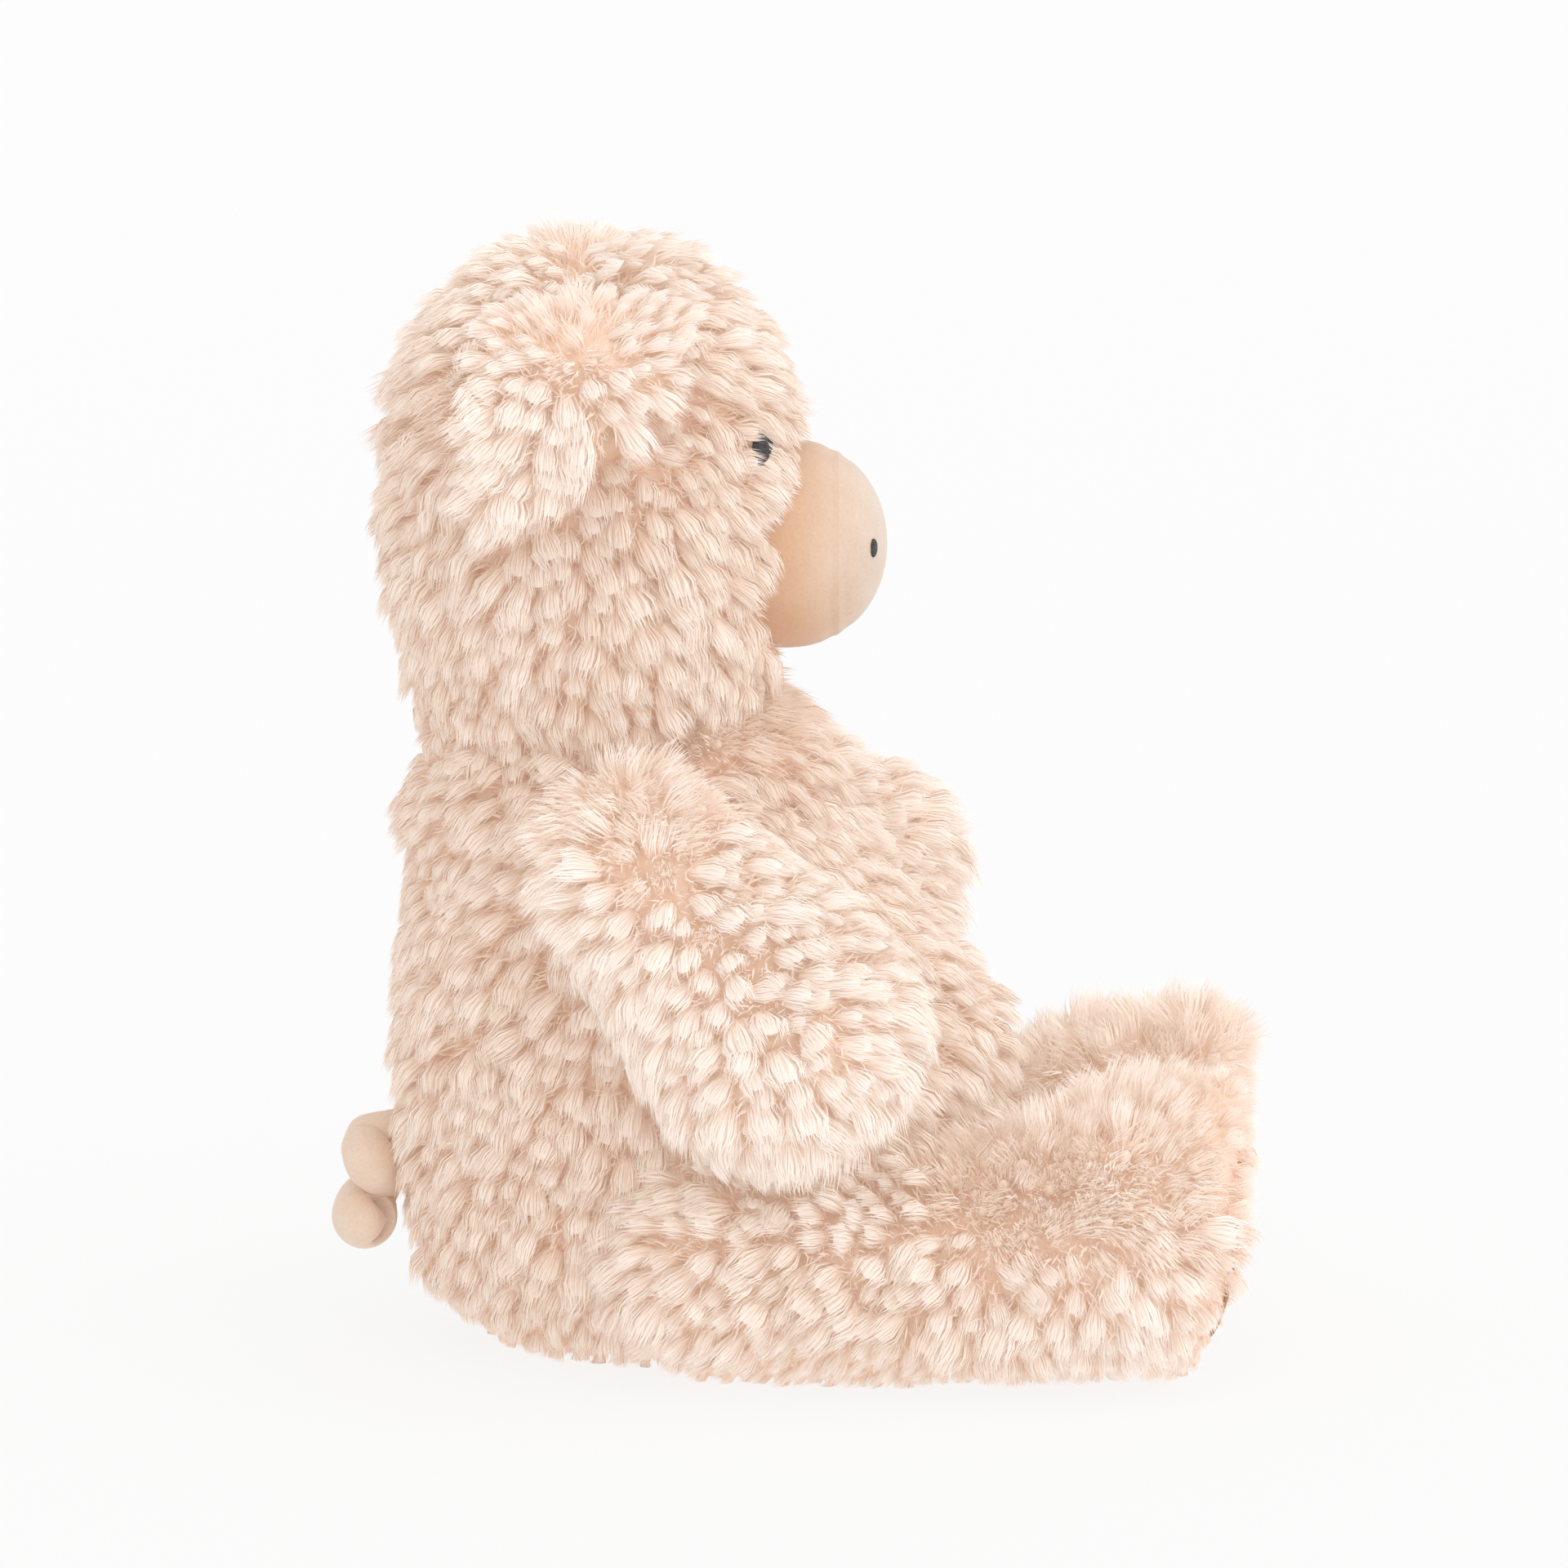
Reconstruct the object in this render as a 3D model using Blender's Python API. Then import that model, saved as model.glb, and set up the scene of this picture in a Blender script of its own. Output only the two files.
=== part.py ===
"""A seated plush pig, 232 mm tall under its fur: plush covers sewn over loose fillings, a pellet bag in the
seat, and a velour snout, soles, ear linings and curled tail. Metres, +Z up, facing -Y, origin on the floor.
"""

import math

import bmesh
import bpy
from mathutils import Matrix, Vector
from mathutils.bvhtree import BVHTree

# Fits and fabric
FIT_GAP = 0.0003
COVER_WALL = 0.003
# The main tufts of the pile on the body and the head, drawn in between, and left off round what is sewn on
TUFT_SPACING = 0.015
TUFT_DEPTH = 0.003
TUFT_FADE = 0.008
TUFTED_WALL = COVER_WALL + TUFT_DEPTH
VELOUR_WALL = 0.0016
SEAT_CUT = 0.0005
CUT_REACH = 0.4

# Body: a pear whose top is a ball that the head turns on
BODY_BACK_SHIFT = 0.019
BELLY_HALF_DEPTH = 0.061
BELLY_HALF_WIDTH = 0.053
CHEST_HEIGHT = 0.115
NECK_BALL_RADIUS = 0.0447
NECK_BALL_HEIGHT = 0.105
NECK_BACK_SHIFT = 0.036
BODY_SEGMENTS = 28
FILLING_SEGMENTS = 20
# Height up to the chest, depth and width of the belly, and how far the middle has moved back to the neck
BODY_SHARES = (
    (0.040, 0.72, 0.72, 0.18),
    (0.130, 0.88, 0.87, 0.09),
    (0.260, 0.97, 0.96, 0.00),
    (0.435, 1.00, 1.00, 0.00),
    (0.565, 0.993, 0.99, 0.06),
    (0.650, 0.951, 0.965, 0.18),
    (0.730, 0.885, 0.925, 0.37),
    (0.817, 0.810, 0.88, 0.63),
    (0.913, 0.762, 0.845, 0.80),
)
SEAT_DEPTH_SHARE = 0.58
SEAT_WIDTH_SHARE = 0.56
SEAT_SHIFT_SHARE = 0.30
DOME_STEPS = 7
NECK_ROOM_RINGS = 16

# Pellet bag in the seat
BAG_HALF_WIDTH = 0.028
BAG_HALF_DEPTH = 0.018
BAG_HALF_HEIGHT = 0.011
BAG_BACK_SHIFT = 0.042
BAG_CLEARANCE = 0.0006
BAG_STEPS = 8

# Head: a full-cheeked ball with the neck ball's hollow in its underside
HEAD_LIFT = 0.013
HEAD_HEIGHT = 0.114
HEAD_BOTTOM = NECK_BALL_HEIGHT + HEAD_LIFT
HEAD_HALF_DEPTH = 0.043
HEAD_HALF_WIDTH = 0.052
HEAD_NECK_OFFSET = 0.006
HEAD_BACK_SHIFT = NECK_BACK_SHIFT + HEAD_NECK_OFFSET
# Height share of the head, depth share and width share
HEAD_SHARES = (
    (0.03, 0.78, 0.655),
    (0.10, 0.865, 0.74),
    (0.17, 0.905, 0.83),
    (0.28, 0.955, 0.94),
    (0.43, 0.99, 1.00),
    (0.58, 1.00, 0.985),
    (0.71, 0.955, 0.90),
    (0.82, 0.84, 0.775),
    (0.91, 0.64, 0.59),
    (0.97, 0.375, 0.345),
)

# Snout: a side gusset and a domed front panel, pushed on the face
SNOUT_HEIGHT_SHARE = 0.43
SNOUT_HEIGHT = HEAD_BOTTOM + HEAD_HEIGHT * SNOUT_HEIGHT_SHARE
SNOUT_REACH = 0.0166
SNOUT_BACK_REACH = 0.010
SNOUT_HALF_WIDTH = 0.0245
SNOUT_HALF_HEIGHT = 0.0215
SNOUT_STANDOFF = 0.001
SNOUT_MIDDLE = HEAD_BACK_SHIFT - HEAD_HALF_DEPTH - SNOUT_STANDOFF
SNOUT_SEAM_SHARE = 0.39
SNOUT_SEAM = SNOUT_MIDDLE - SNOUT_REACH * SNOUT_SEAM_SHARE
SNOUT_SEGMENTS = 24
SNOUT_STEPS = 7
SNOUT_FILLING_SEGMENTS = 16

# Embroidered eyes and nostrils: an eye's place as shares of the head, a nostril's as shares of the snout
EYE_HEIGHT_SHARE = 0.64
EYE_SPREAD_SHARE = 0.52
EYE_HALF_WIDTH = 0.0043
EYE_HALF_HEIGHT = 0.0045
EYE_RISE = 0.0012
NOSTRIL_HEIGHT_SHARE = 0.05
NOSTRIL_SPREAD_SHARE = 0.37
NOSTRIL_HALF_WIDTH = 0.0015
NOSTRIL_HALF_HEIGHT = 0.0025
NOSTRIL_RISE = 0.0007
STITCH_SEGMENTS = 12
STITCH_STEPS = 4

# Ears: padded flaps folded over the sides of the head, lined with velour
EAR_LEAN = math.radians(39)
EAR_HALF_WIDTH = 0.0205
EAR_HALF_THICKNESS = 0.0042
EAR_BEAD_RADIUS = 0.0040
EAR_OUT = 0.029
EAR_DROP = 0.034
EAR_HEM = 0.0045
LINING_HALF_THICKNESS = 0.0009
EAR_SEGMENTS = 14
EAR_STEPS = 10
# Path of the flap from its seam: outward share of the reach, upward share of the drop
EAR_PATH_SHARES = (
    (0.00, 0.00),
    (0.16, 0.13),
    (0.42, 0.25),
    (0.72, 0.16),
    (0.93, -0.10),
    (1.00, -0.45),
    (0.95, -0.98),
)
# Stretch of the path on each side of a point over which its slope is read
EAR_SLOPE_SHARE = 0.04
# Half width and half thickness along the flap
EAR_SWELL_SHARES = (
    (0.00, 0.80, 0.70),
    (0.15, 0.90, 0.74),
    (0.40, 1.00, 1.00),
    (0.65, 1.00, 1.00),
    (0.85, 0.80, 0.88),
    (1.00, 0.42, 0.60),
)
LINING_START_SHARE = 0.22
LINING_END_SHARE = 0.93

# Arms: plump paddles, flat where they lie on the body's side
SHOULDER_SPREAD = 0.043
SHOULDER_HEIGHT = 0.113
SHOULDER_BACK_SHIFT = 0.037
ARM_LEAN = math.radians(9)
ARM_RIGHT_DROP = math.radians(50)
ARM_LEFT_DROP = math.radians(40)
ARM_LENGTH = 0.091
ARM_ROOT_REACH = 0.013
ARM_HALF_WIDTH = 0.0265
ARM_HALF_THICKNESS = 0.0205
ARM_SEGMENTS = 18
ARM_FILLING_SEGMENTS = 14
# Along the arm: half width, half thickness, and how far the middle stands off the body
ARM_SHARES = (
    (0.00, 0.00, 0.00, 0.10),
    (0.05, 0.48, 0.42, 0.16),
    (0.16, 0.70, 0.66, 0.22),
    (0.30, 0.81, 0.76, 0.30),
    (0.45, 0.88, 0.84, 0.40),
    (0.60, 0.95, 0.93, 0.50),
    (0.74, 1.00, 1.00, 0.56),
    (0.85, 0.93, 0.93, 0.56),
    (0.93, 0.70, 0.70, 0.52),
    (0.98, 0.40, 0.42, 0.50),
    (1.00, 0.00, 0.00, 0.50),
)

# Legs: a ball at the hip, a narrower shin and a big foot with a velour sole
HIP_SPREAD = 0.042
HIP_BACK_SHIFT = 0.014
HIP_RADIUS = 0.025
FOOT_RADIUS = 0.029
LEG_LENGTH = 0.103
LEG_OUT_SHARE = 0.12
LEG_IN_SHARE = 0.40
HIP_CLEARANCE_SHARE = 0.05
SPLAY_OUT = math.radians(25)
SPLAY_IN = math.radians(3)
LEG_SEGMENTS = 22
LEG_FILLING_SEGMENTS = 16
HIP_STEPS = 6
# Along the leg from the hip's middle to the sole: radius between the hip's and the foot's
LEG_SHARES = (
    (0.19, -0.20),
    (0.33, -0.40),
    (0.48, -0.15),
    (0.62, 0.50),
    (0.76, 0.95),
    (0.89, 0.85),
    (1.00, 0.10),
    (1.05, -0.60),
)
SOLE_RADIUS = 0.0215
SOLE_RISE = 0.0025
SOLE_SEGMENTS = 24

# Tail: a stuffed velour tube, gathered at the seam and curled down behind the body
TAIL_HEIGHT = 0.0445
TAIL_BALL_RADIUS = 0.0049
TAIL_STANDOFF = 0.0008
TAIL_RADIUS = 0.0055
TAIL_CLEARANCE = 0.0014
TAIL_CURL_HALF_WIDTH = 0.006
TAIL_CURL_HALF_DEPTH = 0.0018
TAIL_CURL_PITCH = 0.0165
TAIL_CURL_START = 0.0025
TAIL_TWIST = math.radians(468)
# Place of the neck between the ball and the curl, radius along the tail, and the roundness of its tip
TAIL_NECK_SHARE = 0.4
TAIL_SWELL_SHARES = (
    (0.00, 0.78),
    (0.06, 0.80),
    (0.20, 1.02),
    (0.42, 0.86),
    (0.56, 0.88),
    (0.80, 1.24),
    (0.94, 1.04),
    (1.00, 0.62),
)
TAIL_TIP_SHARE = 0.5
TAIL_SEGMENTS = 10
TAIL_ROOM_SEGMENTS = 20
TAIL_BALL_STEPS = 3
TAIL_CURL_STEPS = 22

LEFT = 1
RIGHT = -1
SIDES = ((LEFT, "left"), (RIGHT, "right"))
OUT = Vector((1, 0, 0))
BACK = Vector((0, 1, 0))
UP = Vector((0, 0, 1))


def clear_scene():
    for thing in list(bpy.data.objects):
        bpy.data.objects.remove(thing)


def make_collection(name):
    collection = bpy.data.collections.new(name)
    bpy.context.scene.collection.children.link(collection)
    return collection


def make_material(name, colour, roughness):
    material = bpy.data.materials.new(name)
    material.use_nodes = True
    shader = material.node_tree.nodes["Principled BSDF"]
    shader.inputs["Base Color"].default_value = (*colour, 1.0)
    shader.inputs["Roughness"].default_value = roughness
    shader.inputs["Metallic"].default_value = 0.0
    return material


def loft(name, stations, segments):
    """A closed soft form through rings of a centre and two half axes; the first and last are points."""
    shape = bmesh.new()
    first = shape.verts.new(stations[0][0])
    last = shape.verts.new(stations[-1][0])
    rings = []
    for centre, across, along in stations[1:-1]:
        ring = []
        for index in range(segments):
            turn = math.tau * index / segments
            ring.append(shape.verts.new(centre + across * math.cos(turn) + along * math.sin(turn)))
        rings.append(ring)
    for index in range(segments):
        follow = (index + 1) % segments
        shape.faces.new((first, rings[0][index], rings[0][follow]))
        for before, after in zip(rings, rings[1:]):
            shape.faces.new((before[index], after[index], after[follow], before[follow]))
        shape.faces.new((last, rings[-1][follow], rings[-1][index]))
    if shape.calc_volume(signed=True) < 0:
        bmesh.ops.reverse_faces(shape, faces=shape.faces)
    mesh = bpy.data.meshes.new(name)
    shape.to_mesh(mesh)
    shape.free()
    mesh.shade_smooth()
    return mesh


def girth_segments(half_width, half_depth):
    """An even number of segments for a loft, two for each tuft round its widest ring."""
    return 2 * round(math.pi * (half_width + half_depth) / TUFT_SPACING)


def respaced(stations):
    """The same form with a ring for every half tuft down its skin."""
    rows = []
    length = 0
    for index, (place, across, along) in enumerate(stations[1:-1]):
        size = (across.length + along.length) / 2
        if index:
            length += math.hypot(place.z - before.z, size - size_before)
        rows.append((length, place.y, place.z, across.length, along.length))
        before, size_before = place, size
    count = round(length * 2 / TUFT_SPACING)
    rings = []
    for step in range(count + 1):
        down = length * step / count
        middle, height, wide, deep = (smooth_value(rows, down, column) for column in range(1, 5))
        rings.append((Vector((0, middle, height)), OUT * wide, BACK * deep))
    return [stations[0], *rings, stations[-1]]


def add_tufts(mesh, segments, seams):
    """Draws a loft's skin in at every second corner, less so near the seams."""
    shape = bmesh.new()
    shape.from_mesh(mesh)
    shape.normal_update()
    shape.verts.ensure_lookup_table()
    dips = {}
    for corner in shape.verts[2:]:
        ring, turn = divmod(corner.index - 2, segments)
        if (ring + turn) % 2:
            near = min(distance(corner.co) for distance in seams)
            dips[corner] = corner.normal * TUFT_DEPTH * min(max(near / TUFT_FADE, 0), 1)
    for corner, dip in dips.items():
        corner.co -= dip
    for face in [face for face in shape.faces if len(face.verts) > 3]:
        bmesh.utils.face_split(face, *(corner for corner in face.verts if corner in dips))
    shape.to_mesh(mesh)
    shape.free()


def round_point(middle, reach):
    """A seam round a point, as a function that gives how far a place lies outside its reach."""
    return lambda place: (place - middle).length - reach


def round_line(start, end, reach):
    """A seam round a line, as a function that gives how far a place lies outside its reach."""
    def distance(place):
        share = (place - start).dot(end - start) / (end - start).length_squared
        return (place - start.lerp(end, min(max(share, 0), 1))).length - reach
    return distance


def facet_share(segments, rings):
    """How much of its radius a ball made of flat facets keeps at the middle of a facet."""
    return math.cos(math.pi / segments) * math.cos(math.pi / 2 / rings)


def add_piece(name, mesh, material, joint=None):
    """Links a sub-part, with its origin on its joint where it has one."""
    piece = bpy.data.objects.new(name, mesh)
    parts.objects.link(piece)
    mesh.materials.append(material)
    if joint:
        mesh.transform(Matrix.Translation(-joint.location))
        piece.parent = joint
    return piece


def add_joint(name, place):
    joint = bpy.data.objects.new(name, None)
    joint.location = place
    joint.empty_display_size = HIP_RADIUS
    parts.objects.link(joint)
    return joint


def add_cutter(name, mesh):
    cutter = bpy.data.objects.new(name, mesh)
    cutter.hide_render = True
    cutter.display_type = "WIRE"
    cutters.objects.link(cutter)
    return cutter


def add_ball_room(name, centre, radius, segments, rings):
    """A cutter whose facets all clear a ball by the fit gap."""
    wide = (radius + FIT_GAP) / facet_share(segments, rings)
    stations = []
    for step in range(rings + 1):
        angle = math.pi * step / rings
        across = wide * math.sin(angle)
        stations.append((centre + UP * wide * math.cos(angle), OUT * across, BACK * across))
    return add_cutter(name, loft(name, stations, segments))


def add_half_space(name, place, removed):
    """A cutter block that takes away everything beyond a plane, on the side that removed points to."""
    shape = bmesh.new()
    bmesh.ops.create_cube(shape, size=CUT_REACH)
    turn = removed.to_track_quat("Z", "Y").to_matrix().to_4x4()
    shift = Matrix.Translation(place + removed * (CUT_REACH / 2))
    bmesh.ops.transform(shape, matrix=shift @ turn, verts=shape.verts)
    mesh = bpy.data.meshes.new(name)
    shape.to_mesh(mesh)
    shape.free()
    return add_cutter(name, mesh)


def cut(piece, *tools):
    for tool in tools:
        boolean = piece.modifiers.new(tool.name, "BOOLEAN")
        boolean.operation = "DIFFERENCE"
        boolean.solver = "EXACT"
        boolean.object = tool


def surface_point(mesh, start, direction):
    """Where a line meets a form, and which way the surface faces there."""
    shape = bmesh.new()
    shape.from_mesh(mesh)
    place, normal, _, _ = BVHTree.FromBMesh(shape).ray_cast(start, direction)
    shape.free()
    return place, normal


def smooth_value(rows, position, column):
    """Reads a column of a share table at a position, on a smooth curve through its rows."""
    last = len(rows) - 1
    index = 0
    while index < last - 1 and position > rows[index + 1][0]:
        index += 1
    before, low = rows[max(index - 1, 0)], rows[index]
    high, after = rows[index + 1], rows[min(index + 2, last)]
    span = high[0] - low[0]
    share = (position - low[0]) / span
    slope_low = (high[column] - before[column]) / max(high[0] - before[0], span) * span
    slope_high = (after[column] - low[column]) / max(after[0] - low[0], span) * span
    square, cube = share ** 2, share ** 3
    return (
        (2 * cube - 3 * square + 1) * low[column]
        + (cube - 2 * square + share) * slope_low
        + (3 * square - 2 * cube) * high[column]
        + (cube - square) * slope_high
    )


def body_stations(inset):
    """Rings of the body from the neck ball's top to the seat, drawn in by a fabric's thickness."""
    radius = NECK_BALL_RADIUS - inset
    neck = Vector((0, NECK_BACK_SHIFT, NECK_BALL_HEIGHT))
    end = math.acos((CHEST_HEIGHT - NECK_BALL_HEIGHT) / NECK_BALL_RADIUS)
    stations = [(neck + UP * radius, None, None)]
    for step in range(1, DOME_STEPS + 1):
        angle = end * step / DOME_STEPS
        wide = radius * math.sin(angle)
        stations.append((neck + UP * radius * math.cos(angle), OUT * wide, BACK * wide))
    for height, depth, width, shift in reversed(BODY_SHARES):
        middle = BODY_BACK_SHIFT + (NECK_BACK_SHIFT - BODY_BACK_SHIFT) * shift
        place = Vector((0, middle, inset + (CHEST_HEIGHT - inset) * height))
        across = OUT * (BELLY_HALF_WIDTH * width - inset)
        stations.append((place, across, BACK * (BELLY_HALF_DEPTH * depth - inset)))
    middle = BODY_BACK_SHIFT + (NECK_BACK_SHIFT - BODY_BACK_SHIFT) * SEAT_SHIFT_SHARE
    floor = Vector((0, middle, inset - SEAT_CUT))
    across = OUT * (BELLY_HALF_WIDTH * SEAT_WIDTH_SHARE - inset)
    stations.append((floor, across, BACK * (BELLY_HALF_DEPTH * SEAT_DEPTH_SHARE - inset)))
    stations.append((floor, OUT, BACK))
    return stations


def head_stations(inset):
    height = HEAD_HEIGHT - inset * 2
    foot = Vector((0, HEAD_BACK_SHIFT, HEAD_BOTTOM + inset))
    stations = [(foot + UP * height, OUT, BACK)]
    for level, depth, width in reversed(HEAD_SHARES):
        across = OUT * (HEAD_HALF_WIDTH * width - inset)
        stations.append((foot + UP * height * level, across, BACK * (HEAD_HALF_DEPTH * depth - inset)))
    stations.append((foot, OUT, BACK))
    return stations


def snout_stations(inset):
    """Rings from the tip of the snout back into the face."""
    middle = Vector((0, SNOUT_MIDDLE, SNOUT_HEIGHT))
    wide = OUT * (SNOUT_HALF_WIDTH - inset)
    tall = UP * (SNOUT_HALF_HEIGHT - inset)
    stations = []
    for step in range(SNOUT_STEPS + 1):
        angle = math.pi / 2 * step / SNOUT_STEPS
        place = middle - BACK * (SNOUT_REACH - inset) * math.cos(angle)
        stations.append((place, wide * math.sin(angle), tall * math.sin(angle)))
    back = middle + BACK * (SNOUT_BACK_REACH + inset)
    stations += [(back, wide, tall), (back, wide, tall)]
    return stations


def shoulder(side):
    """The shoulder's place on the body, its outward axis, and the way down the body's side."""
    place = Vector((side * SHOULDER_SPREAD, SHOULDER_BACK_SHIFT, SHOULDER_HEIGHT))
    outward = Vector((side * math.cos(ARM_LEAN), 0, math.sin(ARM_LEAN)))
    down = Vector((side * math.sin(ARM_LEAN), 0, -math.cos(ARM_LEAN)))
    return place, outward, down


def arm_stations(side, drop, inset):
    place, outward, down = shoulder(side)
    along = down * math.sin(drop) - BACK * math.cos(drop)
    across = outward.cross(along)
    length = ARM_LENGTH - inset * 2
    start = place - along * (ARM_ROOT_REACH - inset)
    stations = []
    for share, width, thickness, off in ARM_SHARES:
        centre = start + along * length * share + outward * ARM_HALF_THICKNESS * off
        wide = across * max(ARM_HALF_WIDTH * width - inset, 0)
        stations.append((centre, wide, outward * max(ARM_HALF_THICKNESS * thickness - inset, 0)))
    return stations


def leg_centre(side, reach, radius):
    """The middle of a leg at a distance forward of its hip; its underside lies on the floor all along."""
    bend = LEG_OUT_SHARE * reach - LEG_IN_SHARE * reach ** 2 / (LEG_LENGTH * 2)
    if reach < 0:
        bend = 0
    return Vector((side * (HIP_SPREAD + bend), HIP_BACK_SHIFT - reach, radius - SEAT_CUT))


def leg_stations(side, inset):
    stations = []
    hip = HIP_RADIUS - inset
    for step in range(HIP_STEPS + 1):
        angle = math.pi / 2 * step / HIP_STEPS
        wide = hip * math.sin(angle)
        centre = leg_centre(side, -hip * math.cos(angle), HIP_RADIUS)
        stations.append((centre, OUT * wide, UP * wide))
    for share, swell in LEG_SHARES:
        radius = HIP_RADIUS + (FOOT_RADIUS - HIP_RADIUS) * swell
        centre = leg_centre(side, LEG_LENGTH * share, radius)
        stations.append((centre, OUT * (radius - inset), UP * (radius - inset)))
    stations.append((stations[-1][0], OUT, UP))
    return stations


def hip_clearance_stations(side):
    """The room in the body for the hip's ball, and for the leg as it splays."""
    middle = math.tan((SPLAY_OUT - SPLAY_IN) / 2)
    swing = math.tan((SPLAY_OUT + SPLAY_IN) / 2)
    facet = facet_share(LEG_SEGMENTS, HIP_STEPS * 2)
    hip = (HIP_RADIUS + FIT_GAP) / facet
    stations = []
    for step in range(HIP_STEPS + 1):
        angle = math.pi / 2 * step / HIP_STEPS
        wide = hip * math.sin(angle)
        centre = leg_centre(side, -hip * math.cos(angle), HIP_RADIUS)
        stations.append((centre, OUT * wide, UP * wide))
    for share, swell in LEG_SHARES[:-1]:
        reach = LEG_LENGTH * share
        radius = HIP_RADIUS + (FOOT_RADIUS - HIP_RADIUS) * swell
        centre = leg_centre(side, reach, radius) + OUT * side * reach * middle
        radius = (radius + FIT_GAP) / facet
        wide = OUT * (radius + reach * (swing + HIP_CLEARANCE_SHARE))
        stations.append((centre, wide, UP * (radius + reach * HIP_CLEARANCE_SHARE)))
    stations.append((stations[-1][0], OUT, UP))
    return stations


def sole_frame(side):
    """The sole's place, and the way it faces: square to the end of the curved leg."""
    swell = smooth_value(LEG_SHARES, 1, 1)
    centre = leg_centre(side, LEG_LENGTH, HIP_RADIUS + (FOOT_RADIUS - HIP_RADIUS) * swell)
    slope = side * (LEG_OUT_SHARE - LEG_IN_SHARE)
    return centre, Vector((slope, -1, 0)).normalized()


def patch_stations(place, facing, half_width, half_height, rise):
    """A domed patch with a flat back, lying just off the surface it is sewn to."""
    across = UP.cross(facing).normalized()
    upward = facing.cross(across)
    stations = [(place + facing * (FIT_GAP + rise), across, upward)]
    for step in range(1, STITCH_STEPS + 1):
        angle = math.pi / 2 * step / STITCH_STEPS
        centre = place + facing * (FIT_GAP + rise * math.cos(angle))
        open_share = math.sin(angle)
        stations.append((centre, across * half_width * open_share, upward * half_height * open_share))
    stations.append((place + facing * FIT_GAP, across, upward))
    return stations


def ear_path(side, root, share):
    """A point on the ear's middle, and the unit vectors along it and out of its top face."""
    count = len(EAR_PATH_SHARES) - 1
    rows = [(index / count, *point) for index, point in enumerate(EAR_PATH_SHARES)]

    def at(position):
        return Vector((
            side * EAR_OUT * smooth_value(rows, position, 1),
            0,
            EAR_DROP * smooth_value(rows, position, 2),
        ))

    ahead, behind = min(share + EAR_SLOPE_SHARE, 1), max(share - EAR_SLOPE_SHARE, 0)
    along = (at(ahead) - at(behind)).normalized()
    return root + at(share), along, along.cross(BACK) * side


def ear_stations(side, root):
    start, along, _ = ear_path(side, root, 0)
    stations = [(start - along * EAR_BEAD_RADIUS, BACK, UP)]
    for step in range(EAR_STEPS + 1):
        share = step / EAR_STEPS
        centre, along, top = ear_path(side, root, share)
        wide = BACK * EAR_HALF_WIDTH * smooth_value(EAR_SWELL_SHARES, share, 1)
        thick = top * EAR_HALF_THICKNESS * smooth_value(EAR_SWELL_SHARES, share, 2)
        stations.append((centre, wide, thick))
    stations.append((centre + along * EAR_HALF_THICKNESS, BACK, UP))
    return stations


def lining_stations(side, root):
    """The velour lining lies under the flap, a hem's width inside its edge."""
    stations = []
    for step in range(EAR_STEPS + 1):
        share = LINING_START_SHARE + (LINING_END_SHARE - LINING_START_SHARE) * step / EAR_STEPS
        centre, _, top = ear_path(side, root, share)
        pad = EAR_HALF_THICKNESS * smooth_value(EAR_SWELL_SHARES, share, 2)
        centre = centre - top * (pad + FIT_GAP + LINING_HALF_THICKNESS)
        wide = EAR_HALF_WIDTH * smooth_value(EAR_SWELL_SHARES, share, 1) - EAR_HEM
        stations.append((centre, BACK * wide, top * LINING_HALF_THICKNESS))
    return stations


def ear_groove_stations(root):
    """The slot that holds the ear's root, along the ear's hinge."""
    facet = math.cos(math.pi / EAR_SEGMENTS)
    radius = (EAR_BEAD_RADIUS + FIT_GAP) / facet
    reach = EAR_HALF_WIDTH + FIT_GAP
    first, last = root - BACK * reach, root + BACK * reach
    ring = (OUT * radius, UP * radius)
    return [(first, *ring), (first, *ring), (last, *ring), (last, *ring)]


def tail_stations(pivot):
    """A ball in the seam, a gathered neck, and a curl that goes down behind the body."""
    stations = []
    for step in range(TAIL_BALL_STEPS + 1):
        angle = math.pi / 2 * step / (TAIL_BALL_STEPS + 1)
        wide = TAIL_BALL_RADIUS * math.sin(angle)
        stations.append((pivot - BACK * TAIL_BALL_RADIUS * math.cos(angle), OUT * wide, UP * wide))
    curl_middle = pivot.y - TAIL_STANDOFF + TAIL_CLEARANCE + TAIL_RADIUS + TAIL_CURL_HALF_DEPTH
    top = pivot.z - TAIL_CURL_START
    curl_start = Vector((0, curl_middle + TAIL_CURL_HALF_DEPTH, top))
    centres = [pivot, pivot.lerp(curl_start, TAIL_NECK_SHARE)]
    for step in range(TAIL_CURL_STEPS + 1):
        turn = TAIL_TWIST * step / TAIL_CURL_STEPS
        fall = TAIL_CURL_PITCH * min(turn / math.tau, 1)
        centres.append(Vector((
            -TAIL_CURL_HALF_WIDTH * math.sin(turn),
            curl_middle + TAIL_CURL_HALF_DEPTH * math.cos(turn),
            top - fall,
        )))
    count = len(centres) - 1
    side_way = OUT
    for index, centre in enumerate(centres):
        along = (centres[min(index + 1, count)] - centres[max(index - 1, 0)]).normalized()
        side_way = (side_way - along * side_way.dot(along)).normalized()
        swell = smooth_value(TAIL_SWELL_SHARES, index / count, 1) * TAIL_RADIUS
        stations.append((centre, side_way * swell, along.cross(side_way) * swell))
    stations.append((centre + along * TAIL_RADIUS * TAIL_TIP_SHARE, OUT, UP))
    return stations


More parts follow.
